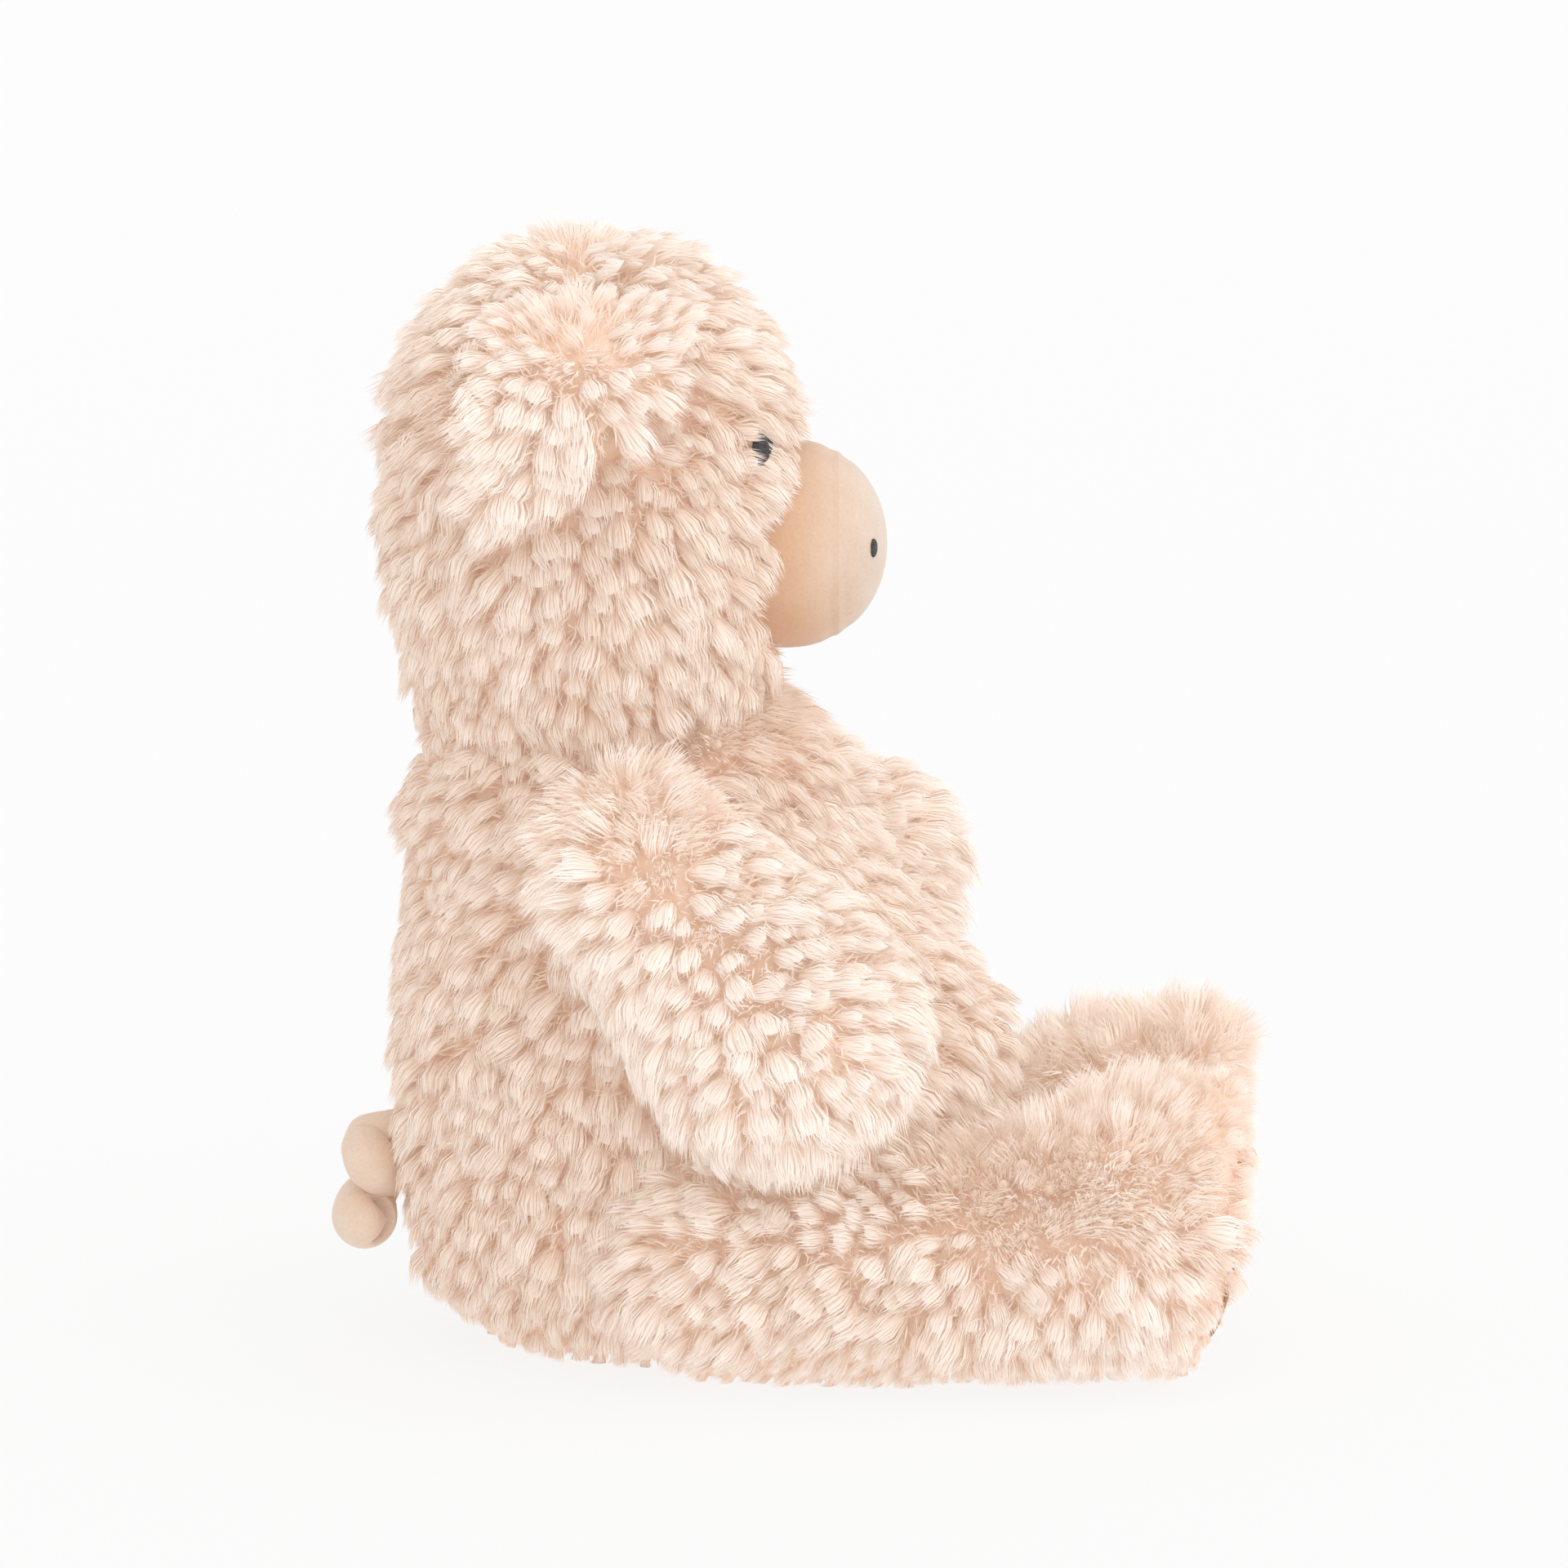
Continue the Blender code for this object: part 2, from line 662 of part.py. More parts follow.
def body_seams():
    """Where the body's tufts fade out: the neck, the shoulders, the tail's root and the seat."""
    neck = Vector((0, NECK_BACK_SHIFT, NECK_BALL_HEIGHT))
    tail = Vector((0, BODY_BACK_SHIFT + BELLY_HALF_DEPTH, TAIL_HEIGHT))
    seams = [
        round_point(neck, NECK_BALL_RADIUS + FIT_GAP),
        round_point(tail, TAIL_BALL_RADIUS + TAIL_RADIUS),
        lambda place: place.z - COVER_WALL,
    ]
    for side, _ in SIDES:
        place, _, down = shoulder(side)
        seams.append(round_line(place, place + down * ARM_HALF_WIDTH, ARM_ROOT_REACH))
    return seams


def build_body():
    segments = girth_segments(BELLY_HALF_WIDTH, BELLY_HALF_DEPTH)
    outer = loft("body_cover", respaced(body_stations(0)), segments)
    add_tufts(outer, segments, body_seams())
    cover = add_piece("body_cover", outer, plush)
    hollow = add_cutter("body_hollow", loft("body_hollow", body_stations(TUFTED_WALL), FILLING_SEGMENTS))
    inner = loft("body_filling", body_stations(TUFTED_WALL + FIT_GAP), FILLING_SEGMENTS)
    filling = add_piece("body_filling", inner, fibre)
    floor = add_half_space("floor_cut", Vector((0, 0, 0)), -UP)
    cut(cover, floor, hollow)
    for side, name in SIDES:
        place, outward, _ = shoulder(side)
        cut(cover, add_half_space(f"shoulder_flat_{name}", place, outward))
        hip_room = loft(f"hip_room_{name}", hip_clearance_stations(side), LEG_SEGMENTS)
        room = add_cutter(f"hip_room_{name}", hip_room)
        cut(cover, room)
        cut(filling, room)
    add_piece("pellet_bag", loft("pellet_bag", bag_stations(0), FILLING_SEGMENTS), pouch)
    cut(filling, add_cutter("bag_room", loft("bag_room", bag_stations(BAG_CLEARANCE), FILLING_SEGMENTS)))
    return outer, cover, filling


def bag_stations(grow):
    """The pellet bag is an oval cushion on the floor of the body's cover."""
    centre = Vector((0, BAG_BACK_SHIFT, BAG_HALF_HEIGHT + TUFTED_WALL + FIT_GAP))
    stations = []
    for step in range(BAG_STEPS + 1):
        angle = math.pi * step / BAG_STEPS
        level = centre + UP * (BAG_HALF_HEIGHT + grow) * math.cos(angle)
        across = OUT * (BAG_HALF_WIDTH + grow) * math.sin(angle)
        stations.append((level, across, BACK * (BAG_HALF_DEPTH + grow) * math.sin(angle)))
    return stations


def head_seams(face, neck):
    """Where the head's tufts fade out: the neck, the snout, the eyes and the ears' roots."""
    snout = Vector((0, SNOUT_MIDDLE, SNOUT_HEIGHT))
    seams = [
        round_point(neck.location, NECK_BALL_RADIUS + COVER_WALL),
        round_point(snout, SNOUT_HALF_WIDTH + COVER_WALL),
    ]
    for side, _ in SIDES:
        eye, _ = eye_place(side, face)
        root = ear_root(side, face)
        reach = BACK * EAR_HALF_WIDTH
        seams.append(round_point(eye, EYE_HALF_WIDTH + COVER_WALL))
        seams.append(round_line(root - reach, root + reach, EAR_BEAD_RADIUS + COVER_WALL))
    return seams


def eye_place(side, face):
    height = HEAD_BOTTOM + HEAD_HEIGHT * EYE_HEIGHT_SHARE
    start = Vector((side * HEAD_HALF_WIDTH * EYE_SPREAD_SHARE, -CUT_REACH, height))
    return surface_point(face, start, BACK)


def ear_root(side, face):
    outward = Vector((side * math.sin(EAR_LEAN), 0, math.cos(EAR_LEAN)))
    middle = Vector((0, HEAD_BACK_SHIFT, HEAD_BOTTOM + HEAD_HEIGHT / 2))
    root, _ = surface_point(face, middle + outward * CUT_REACH, -outward)
    return root


def build_head(neck):
    segments = girth_segments(HEAD_HALF_WIDTH, HEAD_HALF_DEPTH)
    outer = loft("head_cover", respaced(head_stations(0)), segments)
    head_room = add_cutter("head_room", loft("head_room", respaced(head_stations(-FIT_GAP)), segments))
    face = outer.copy()
    add_tufts(outer, segments, head_seams(face, neck))
    cover = add_piece("head_cover", outer, plush, neck)
    inner = loft("head_filling", head_stations(TUFTED_WALL + FIT_GAP), FILLING_SEGMENTS)
    filling = add_piece("head_filling", inner, fibre, neck)
    cut(cover, add_cutter("head_hollow", loft("head_hollow", head_stations(TUFTED_WALL), FILLING_SEGMENTS)))
    neck_room = add_ball_room("neck_room", neck.location, NECK_BALL_RADIUS, BODY_SEGMENTS, NECK_ROOM_RINGS)
    cut(cover, neck_room)
    cut(filling, neck_room)
    build_snout(neck, head_room)
    for side, name in SIDES:
        place, facing = eye_place(side, face)
        stations = patch_stations(place, facing, EYE_HALF_WIDTH, EYE_HALF_HEIGHT, EYE_RISE)
        add_piece(f"eye_{name}", loft(f"eye_{name}", stations, STITCH_SEGMENTS), thread, neck)
        build_ear(side, name, face, neck, cover, filling)
    bpy.data.meshes.remove(face)


def build_snout(neck, head_room):
    outer = loft("snout_side", snout_stations(0), SNOUT_SEGMENTS)
    inside = loft("snout_hollow", snout_stations(VELOUR_WALL), SNOUT_FILLING_SEGMENTS)
    hollow = add_cutter("snout_hollow", inside)
    seam = Vector((0, SNOUT_SEAM, SNOUT_HEIGHT))
    before = add_half_space("snout_seam_before", seam, -BACK)
    behind = add_half_space("snout_seam_behind", seam - BACK * FIT_GAP, BACK)
    front_mesh = outer.copy()
    front_mesh.name = "snout_front"
    for side, name in SIDES:
        height = SNOUT_HEIGHT + SNOUT_HALF_HEIGHT * NOSTRIL_HEIGHT_SHARE
        start = Vector((side * SNOUT_HALF_WIDTH * NOSTRIL_SPREAD_SHARE, -CUT_REACH, height))
        place, facing = surface_point(outer, start, BACK)
        stations = patch_stations(place, facing, NOSTRIL_HALF_WIDTH, NOSTRIL_HALF_HEIGHT, NOSTRIL_RISE)
        add_piece(f"nostril_{name}", loft(f"nostril_{name}", stations, STITCH_SEGMENTS), thread, neck)
    cut(add_piece("snout_side", outer, velour, neck), hollow, before, head_room)
    cut(add_piece("snout_front", front_mesh, velour, neck), hollow, behind)
    inner = loft("snout_filling", snout_stations(VELOUR_WALL + FIT_GAP), SNOUT_FILLING_SEGMENTS)
    cut(add_piece("snout_filling", inner, fibre, neck), head_room)


def build_ear(side, name, face, neck, cover, filling):
    root = ear_root(side, face)
    joint = add_joint(f"ear_{name}_joint", root)
    add_piece(f"ear_{name}", loft(f"ear_{name}", ear_stations(side, root), EAR_SEGMENTS), plush, joint)
    lining = loft(f"ear_lining_{name}", lining_stations(side, root), EAR_SEGMENTS)
    add_piece(f"ear_lining_{name}", lining, velour, joint)
    groove = loft(f"ear_groove_{name}", ear_groove_stations(root), EAR_SEGMENTS)
    slot = add_cutter(f"ear_groove_{name}", groove)
    cut(cover, slot)
    cut(filling, slot)
    joint.parent = neck
    joint.location -= neck.location


def build_arm(side, name, drop):
    place, outward, _ = shoulder(side)
    joint = add_joint(f"arm_{name}_joint", place)
    cover = loft(f"arm_cover_{name}", arm_stations(side, drop, 0), ARM_SEGMENTS)
    inside = loft(f"arm_hollow_{name}", arm_stations(side, drop, COVER_WALL), ARM_FILLING_SEGMENTS)
    hollow = add_cutter(f"arm_hollow_{name}", inside)
    inner = arm_stations(side, drop, COVER_WALL + FIT_GAP)
    filling = loft(f"arm_filling_{name}", inner, ARM_FILLING_SEGMENTS)
    flat = add_half_space(f"arm_flat_{name}", place + outward * FIT_GAP, -outward)
    cut(add_piece(f"arm_cover_{name}", cover, plush, joint), hollow, flat)
    cut(add_piece(f"arm_filling_{name}", filling, fibre, joint), flat)


def build_leg(side, name):
    hip = leg_centre(side, 0, HIP_RADIUS)
    joint = add_joint(f"leg_{name}_joint", hip)
    cover = loft(f"leg_cover_{name}", leg_stations(side, 0), LEG_SEGMENTS)
    inside = loft(f"leg_hollow_{name}", leg_stations(side, COVER_WALL), LEG_FILLING_SEGMENTS)
    hollow = add_cutter(f"leg_hollow_{name}", inside)
    filling = loft(f"leg_filling_{name}", leg_stations(side, COVER_WALL + FIT_GAP), LEG_FILLING_SEGMENTS)
    centre, facing = sole_frame(side)
    toe = add_half_space(f"toe_cut_{name}", centre, facing)
    floor = bpy.data.objects["floor_cut"]
    cut(add_piece(f"leg_cover_{name}", cover, plush, joint), hollow, toe, floor)
    cut(add_piece(f"leg_filling_{name}", filling, fibre, joint), toe)
    sole = patch_stations(centre, facing, SOLE_RADIUS, SOLE_RADIUS, SOLE_RISE)
    add_piece(f"sole_{name}", loft(f"sole_{name}", sole, SOLE_SEGMENTS), velour, joint)


def build_tail(body_form, cover, filling):
    start = Vector((0, CUT_REACH, TAIL_HEIGHT))
    place, _ = surface_point(body_form, start, -BACK)
    pivot = place + BACK * TAIL_STANDOFF
    joint = add_joint("tail_joint", pivot)
    add_piece("tail", loft("tail", tail_stations(pivot), TAIL_SEGMENTS), velour, joint)
    socket = add_ball_room("tail_room", pivot, TAIL_BALL_RADIUS, TAIL_ROOM_SEGMENTS, TAIL_SEGMENTS)
    cut(cover, socket)
    cut(filling, socket)


clear_scene()
parts = make_collection("plush_pig")
cutters = make_collection("cutters")
plush = make_material("tufted_pile_plush", (0.90, 0.76, 0.66), 0.95)
velour = make_material("short_pile_velour", (0.91, 0.66, 0.48), 0.9)
thread = make_material("embroidery_thread", (0.07, 0.07, 0.075), 0.6)
fibre = make_material("polyester_fibre", (0.9, 0.9, 0.88), 1.0)
pouch = make_material("pellet_pouch_cloth", (0.8, 0.78, 0.74), 0.9)

body_form, body_cover, body_filling = build_body()
neck = add_joint("head_joint", Vector((0, NECK_BACK_SHIFT, NECK_BALL_HEIGHT)))
build_head(neck)
for arm_side, arm_name, arm_drop in ((LEFT, "left", ARM_LEFT_DROP), (RIGHT, "right", ARM_RIGHT_DROP)):
    build_arm(arm_side, arm_name, arm_drop)
for leg_side, leg_name in SIDES:
    build_leg(leg_side, leg_name)
build_tail(body_form, body_cover, body_filling)
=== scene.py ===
import math

import bmesh
import bpy
import numpy as np
from mathutils import Matrix, Vector


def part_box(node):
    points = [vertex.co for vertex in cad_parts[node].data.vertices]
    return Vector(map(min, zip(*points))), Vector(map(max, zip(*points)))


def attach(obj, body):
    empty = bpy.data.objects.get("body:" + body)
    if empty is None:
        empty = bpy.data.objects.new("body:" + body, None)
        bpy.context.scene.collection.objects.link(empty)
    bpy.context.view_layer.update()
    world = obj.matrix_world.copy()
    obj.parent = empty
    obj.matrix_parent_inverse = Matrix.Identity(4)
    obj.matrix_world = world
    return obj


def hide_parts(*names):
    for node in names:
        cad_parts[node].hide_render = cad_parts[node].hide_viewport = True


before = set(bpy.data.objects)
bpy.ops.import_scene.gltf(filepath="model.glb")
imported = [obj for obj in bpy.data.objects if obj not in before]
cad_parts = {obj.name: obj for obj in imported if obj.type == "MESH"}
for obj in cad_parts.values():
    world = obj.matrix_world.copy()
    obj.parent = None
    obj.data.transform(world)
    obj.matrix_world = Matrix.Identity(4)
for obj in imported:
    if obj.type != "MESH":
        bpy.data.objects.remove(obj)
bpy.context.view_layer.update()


# Body cover
# A pear of tufted polyester plush, sewn from panels, turned and filled through the back seam. The knitted
# ground cloth is seen only between the tufts. Its long pile is combed down and away from each side's middle.

MM = 0.001


def linear(colour):
    """An sRGB hex colour as the linear values that a shader takes."""
    parts = [int(colour[start:start + 2], 16) / 255 for start in (1, 3, 5)]
    return (*(part / 12.92 if part <= 0.04045 else ((part + 0.055) / 1.055) ** 2.4 for part in parts), 1.0)


def live(sockets, name=None):
    """The first socket in use on a node, or the first of a name."""
    return next(socket for socket in sockets if socket.enabled and name in (None, socket.name))


def add_node(tree, kind, feeds=None, stops=(), **settings):
    """Adds a node. feeds gives its inputs, each a value or the node or socket that it comes from, and stops
    gives a colour ramp's places and hex colours."""
    node = tree.nodes.new(kind)
    for name, value in settings.items():
        setattr(node, name, value)
    for key, value in (feeds or {}).items():
        socket = node.inputs[key] if isinstance(key, int) else live(node.inputs, key)
        if isinstance(value, bpy.types.Node):
            value = live(value.outputs)
        if isinstance(value, bpy.types.NodeSocket):
            tree.links.new(value, socket)
        else:
            socket.default_value = value
    if stops:
        elements = node.color_ramp.elements
        elements[0].position, elements[0].color = stops[0][0], linear(stops[0][1])
        elements[1].position, elements[1].color = stops[-1][0], linear(stops[-1][1])
        for place, colour in stops[1:-1]:
            elements.new(place).color = linear(colour)
    return node


def new_material(name, roughness, sheen, sheen_roughness):
    material = bpy.data.materials.new(name)
    material.use_nodes = True
    shader = material.node_tree.nodes["Principled BSDF"]
    shader.inputs["Roughness"].default_value = roughness
    shader.inputs["Sheen Weight"].default_value = sheen
    shader.inputs["Sheen Roughness"].default_value = sheen_roughness
    shader.inputs["Specular IOR Level"].default_value = 0.3
    return material, material.node_tree, shader


# Tufted polyester pile: matt, soft fibres that are cream at the tips and peach in the depth, a peach that is
# partly their own colour and partly painted shade deep in the pile. Its map holds the tuft's tint across,
# partly random tone and partly painted light by place, and the way from root to tip up, so the colour is
# drawn from that alone.
pile_material, pile, shader = new_material("tufted_polyester_pile", 0.9, 0.3, 0.5)
place = add_node(pile, "ShaderNodeUVMap", uv_map="OFBake").outputs[0]
tint, rise = add_node(pile, "ShaderNodeSeparateXYZ", {0: place}).outputs[:2]
warm = add_node(pile, "ShaderNodeValToRGB", {0: rise}, stops=(
    (0.0, "#E6BE9F"), (0.3, "#E9CBB3"), (0.6, "#ECD6C4"), (1.0, "#EFDFD1"),
))
pale = add_node(pile, "ShaderNodeValToRGB", {0: rise}, stops=(
    (0.0, "#FBE5D5"), (0.3, "#FDEEE3"), (0.6, "#FEF4EC"), (1.0, "#FFFAF5"),
))
# Painted light: the pile glows a little, for the light that its clear fibres pass on, so it is never dark
shader.inputs["Emission Color"].default_value = linear("#E8D6C6")
shader.inputs["Emission Strength"].default_value = 0.12
blend = add_node(pile, "ShaderNodeMix", {0: tint, 6: warm, 7: pale}, data_type="RGBA")
pile.links.new(blend.outputs[2], shader.inputs["Base Color"])


def resampled(rows, count):
    """Reads a table at evenly spaced places, on a smooth curve through its rows."""
    table = np.array(rows, float)
    last = len(table) - 1
    places = np.linspace(0, last, count)
    low = np.minimum(places.astype(int), last - 1)
    share = (places - low)[:, None]
    before, first = table[np.maximum(low - 1, 0)], table[low]
    second, after = table[low + 1], table[np.minimum(low + 2, last)]
    square, cube = share ** 2, share ** 3
    return (
        (2 * cube - 3 * square + 1) * first
        + (cube - 2 * square + share) * (second - before) / 2
        + (3 * square - 2 * cube) * second
        + (cube - square) * (after - first) / 2
    )


def upright_rings(rows):
    """Turns rows of height, half width, half depth and middle, in millimetres, into rings."""
    return [(0, back, up, wide, 0, 0, 0, deep, 0) for up, wide, deep, back in rows]


def skinned(name, rows, count, around):
    """A closed mesh through rings: centres and two half axes in millimetres. The end rings are points."""
    rings = resampled(rows, count) * MM
    turns = np.arange(around)[None, :, None] * math.tau / around
    inner = rings[1:-1, None]
    skin = inner[..., 0:3] + inner[..., 3:6] * np.cos(turns) + inner[..., 6:9] * np.sin(turns)
    points = np.concatenate([rings[:1, 0:3], skin.reshape(-1, 3), rings[-1:, 0:3]])
    end = len(points) - 1
    faces = []
    for step in range(around):
        follow = (step + 1) % around
        faces.append((0, 1 + step, 1 + follow))
        for ring in range(count - 3):
            low, high = 1 + ring * around, 1 + (ring + 1) * around
            faces.append((low + step, high + step, high + follow, low + follow))
        faces.append((end, end - around + follow, end - around + step))
    mesh = bpy.data.meshes.new(name)
    mesh.from_pydata(points.tolist(), [], faces)
    shape = bmesh.new()
    shape.from_mesh(mesh)
    if shape.calc_volume(signed=True) < 0:
        bmesh.ops.reverse_faces(shape, faces=shape.faces)
    shape.to_mesh(mesh)
    shape.free()
    mesh.shade_smooth()
    return mesh


def read_points(mesh):
    places = np.empty(len(mesh.vertices) * 3)
    mesh.vertices.foreach_get("co", places)
    facings = np.empty(len(mesh.vertices) * 3)
    mesh.vertex_normals.foreach_get("vector", facings)
    return places.reshape(-1, 3), facings.reshape(-1, 3)


def write_values(mesh, name, values):
    kind, key = ("FLOAT_VECTOR", "vector") if np.ndim(values) > 1 else ("FLOAT", "value")
    mesh.attributes.new(name, kind, "POINT").data.foreach_set(key, np.ravel(values))


# A tuft is a flattened brush of straight fibres that leans over as it rises. It is made of wisps, each a
# share of the fibres round it, and of a core that keeps light from falling through.
TUFT_LENGTH = 12.0 * MM
TUFT_SINK = 1.0 * MM
TUFT_LEANS = (math.radians(22), math.radians(80))
TUFT_WIDTHS = ((0, 1.2 * MM), (0.3, 2.5 * MM), (0.65, 3.3 * MM), (0.9, 3.3 * MM), (1.1, 3.1 * MM))
TUFT_THICKNESSES = ((0, 0.9 * MM), (0.3, 1.4 * MM), (0.65, 1.7 * MM), (0.9, 1.5 * MM), (1.1, 1.2 * MM))
# The wisps lie on the upper side alone, from just under one edge round to the other
WISPS_ROUND = 7
WISPS_START = math.radians(150)
WISPS_REACH = math.radians(240)
WISP_KINDS = 4
# At a parting the tufts stand up like a brush, full to the middle, and fall open at the top
STANDING_KINDS = 4
STANDING_LEANS = (math.radians(8), math.radians(58))
STANDING_LENGTH = 0.84
STANDING_FLARE = 1.2
FIBRES = 12
# Drawn several times as wide as the real fibre, which is finer than a pixel of the render
FIBRE_WIDTH = 0.3 * MM
ACROSS = Vector((1, 0, 0))


def tuft_place(share, turn, spread, standing):
    """A point on the tuft's side, and the way across the surface there."""
    first, last = STANDING_LEANS if standing else TUFT_LEANS
    length = TUFT_LENGTH * share * (STANDING_LENGTH if standing else 1)
    steps = 8
    place = Vector((0, 0, -TUFT_SINK))
    for step in range(steps):
        lean = first + (last - first) * share * (step + 0.5) / steps
        place += Vector((0, math.sin(lean), math.cos(lean))) * length / steps
    lean = first + (last - first) * share
    over = Vector((0, math.cos(lean), -math.sin(lean)))
    wide = np.interp(share, *zip(*TUFT_WIDTHS)) * spread
    thick = np.interp(share, *zip(*TUFT_THICKNESSES)) * spread
    if standing:
        thick = wide = wide * (1 + (STANDING_FLARE - 1) * share)
    side = (over * math.cos(turn) - ACROSS * math.sin(turn)).normalized()
    return place + ACROSS * wide * math.cos(turn) + over * thick * math.sin(turn), side


def tuft_part(collection, name, points, faces, rises, shades):
    mesh = bpy.data.meshes.new(name)
    mesh.from_pydata([tuple(point) for point in points], [], faces)
    write_values(mesh, "rise", np.array(rises))
    write_values(mesh, "shade", np.array(shades))
    mesh.shade_smooth()
    collection.objects.link(bpy.data.objects.new(name, mesh))


def make_wisp(collection, number, standing, draw):
    points, faces, rises, shades = [], [], [], []
    start, reach = (0, math.tau) if standing else (WISPS_START, WISPS_REACH)
    for _ in range(FIBRES):
        turn = start + reach * (number % WISPS_ROUND + draw.uniform(-0.2, 1.2)) / WISPS_ROUND
        drift, twist = draw.normal(0, 0.35), draw.normal(0, 0.3)
        shade = draw.uniform(0.02, 0.94)
        tip = draw.uniform(0.8, 1.1)
        base = len(points)
        fill = math.sqrt(draw.uniform(0.05, 1.1) if standing else draw.uniform(0.5, 1.15))
        for share, spread, half in ((0.2, 1.0, 0.4), (0.64, 1.07, 0.5)):
            point, _ = tuft_place(share, turn + drift * (share - 0.2), spread * fill, standing)
            _, side = tuft_place(share, turn + twist, spread, standing)
            points += [point - side * FIBRE_WIDTH * half, point + side * FIBRE_WIDTH * half]
            rises += [share, share]
            shades += [shade - 0.02, shade + 0.02]
        spread = fill * 1.1 if standing else fill * draw.uniform(0.55, 1.15)
        points.append(tuft_place(tip, turn + drift * (tip - 0.2), spread, standing)[0])
        rises.append(1.0)
        shades.append(shade)
        faces += [(base, base + 1, base + 3, base + 2), (base + 2, base + 3, base + 4)]
    tuft_part(collection, f"wisp_{number:02d}", points, faces, rises, shades)


def make_core(collection, number, standing):
    """The mass of fibres inside, ridged along its length."""
    points, faces, rises, shades = [], [], [], []
    sides = 6 if standing else 8
    shares = ((0.0, 0.6), (0.2, 0.55), (0.36, 0.45), (0.5, 0.15))
    if not standing:
        shares = ((0.0, 0.7), (0.35, 0.8), (0.62, 0.72), (0.82, 0.3))
    for share, spread in shares:
        for side in range(sides):
            ridge = 0.1 if side % 2 and not standing else 0
            points.append(tuft_place(share, math.tau * side / sides, spread - ridge, standing)[0])
            rises.append(share)
            shades.append(0.15 if side % 2 else 0.75)
    for ring in range(len(shares) - 1):
        for side in range(sides):
            low, high = ring * sides, (ring + 1) * sides
            follow = (side + 1) % sides
            faces.append((low + side, low + follow, high + follow, high + side))
    faces.append(tuple(range(len(points) - sides, len(points))))
    tuft_part(collection, f"core_{number}", points, faces, rises, shades)


draw = np.random.default_rng(41)
wisps = bpy.data.collections.new("wisps")
for number in range(WISPS_ROUND * (WISP_KINDS + STANDING_KINDS)):
    make_wisp(wisps, number, number >= WISPS_ROUND * WISP_KINDS, draw)
cores = bpy.data.collections.new("cores")
make_core(cores, 0, False)
make_core(cores, 1, True)

# Between the tufts lies an undercoat of short, loose fibres
UNDERCOAT_KINDS = 5
UNDERCOAT_FIBRES = 9
UNDERCOAT_REACH = 1.5 * MM
UNDERCOAT_HEIGHT = 5.4 * MM


def make_undercoat(collection, number, draw):
    points, faces, rises, shades = [], [], [], []
    for _ in range(UNDERCOAT_FIBRES):
        foot = Vector((*draw.uniform(-UNDERCOAT_REACH, UNDERCOAT_REACH, 2), -0.3 * MM))
        height = UNDERCOAT_HEIGHT * draw.uniform(0.7, 1.15)
        bend = Vector((*draw.normal(0, 0.3, 2), 0)) + Vector((0, 0.35, 0))
        turn = draw.uniform(0, math.pi)
        side = Vector((math.cos(turn), math.sin(turn), 0)) * FIBRE_WIDTH * 0.7
        shade = draw.uniform(0.02, 0.94)
        middle = foot + (Vector((0, 0, 0.6)) + bend * 0.35) * height
        tip = foot + (Vector((0, 0, 0.95)) + bend * 1.1) * height
        base = len(points)
        points += [foot - side, foot + side, middle - side, middle + side, tip]
        rises += [0.15, 0.15, 0.4, 0.4, 0.7]
        shades += [shade - 0.02, shade + 0.02, shade - 0.02, shade + 0.02, shade]
        faces += [(base, base + 1, base + 3, base + 2), (base + 2, base + 3, base + 4)]
    tuft_part(collection, f"undercoat_{number}", points, faces, rises, shades)


undercoats = bpy.data.collections.new("undercoats")
for number in range(UNDERCOAT_KINDS):
    make_undercoat(undercoats, number, draw)

# The tree sets tufts over a form: spaced at random, turned to the form's combing, and stood up where the
# combing parts. It then writes the map that the pile's colour reads.
def new_tree(name, takes, gives, sizes):
    """A tree from one geometry to another, the identifiers of its inputs for sizes, and what it is given."""
    tree = bpy.data.node_groups.new(name, "GeometryNodeTree")
    tree.interface.new_socket(takes, in_out="INPUT", socket_type="NodeSocketGeometry")
    tree.interface.new_socket(gives, in_out="OUTPUT", socket_type="NodeSocketGeometry")
    inputs = {}
    for key, value in sizes:
        kind = "NodeSocketInt" if isinstance(value, int) else "NodeSocketFloat"
        socket = tree.interface.new_socket(key, in_out="INPUT", socket_type=kind)
        socket.default_value = value
        inputs[key] = socket.identifier
    return tree, inputs, add_node(tree, "NodeGroupInput").outputs


tufting, tuft_inputs, given = new_tree("tufting", "Form", "Pile", (
    ("Tuft spacing", 4.4 * MM),
    ("Undercoat spacing", 2.4 * MM),
    ("Tufts to try", 600000.0),
    ("Undercoat to try", 1500000.0),
    ("Shortest", 0.72),
    ("Longest", 1.12),
    ("Warmest", 0.0),
    ("Palest", 1.0),
    ("Standing below", 0.52),
    ("Seed", 1),
))
# What each point knows: the form's own values, and what the tree writes to it on the way
known = {}
for kind, names in (
    ("FLOAT", ("lay", "grow", "crop", "pale", "pitch", "standing", "tint", "shade", "rise")),
    ("FLOAT_VECTOR", ("comb", "facing", "size")),
    ("QUATERNION", ("way",)),
):
    for name in names:
        known[name] = add_node(tufting, "GeometryNodeInputNamedAttribute", {"Name": name}, data_type=kind)
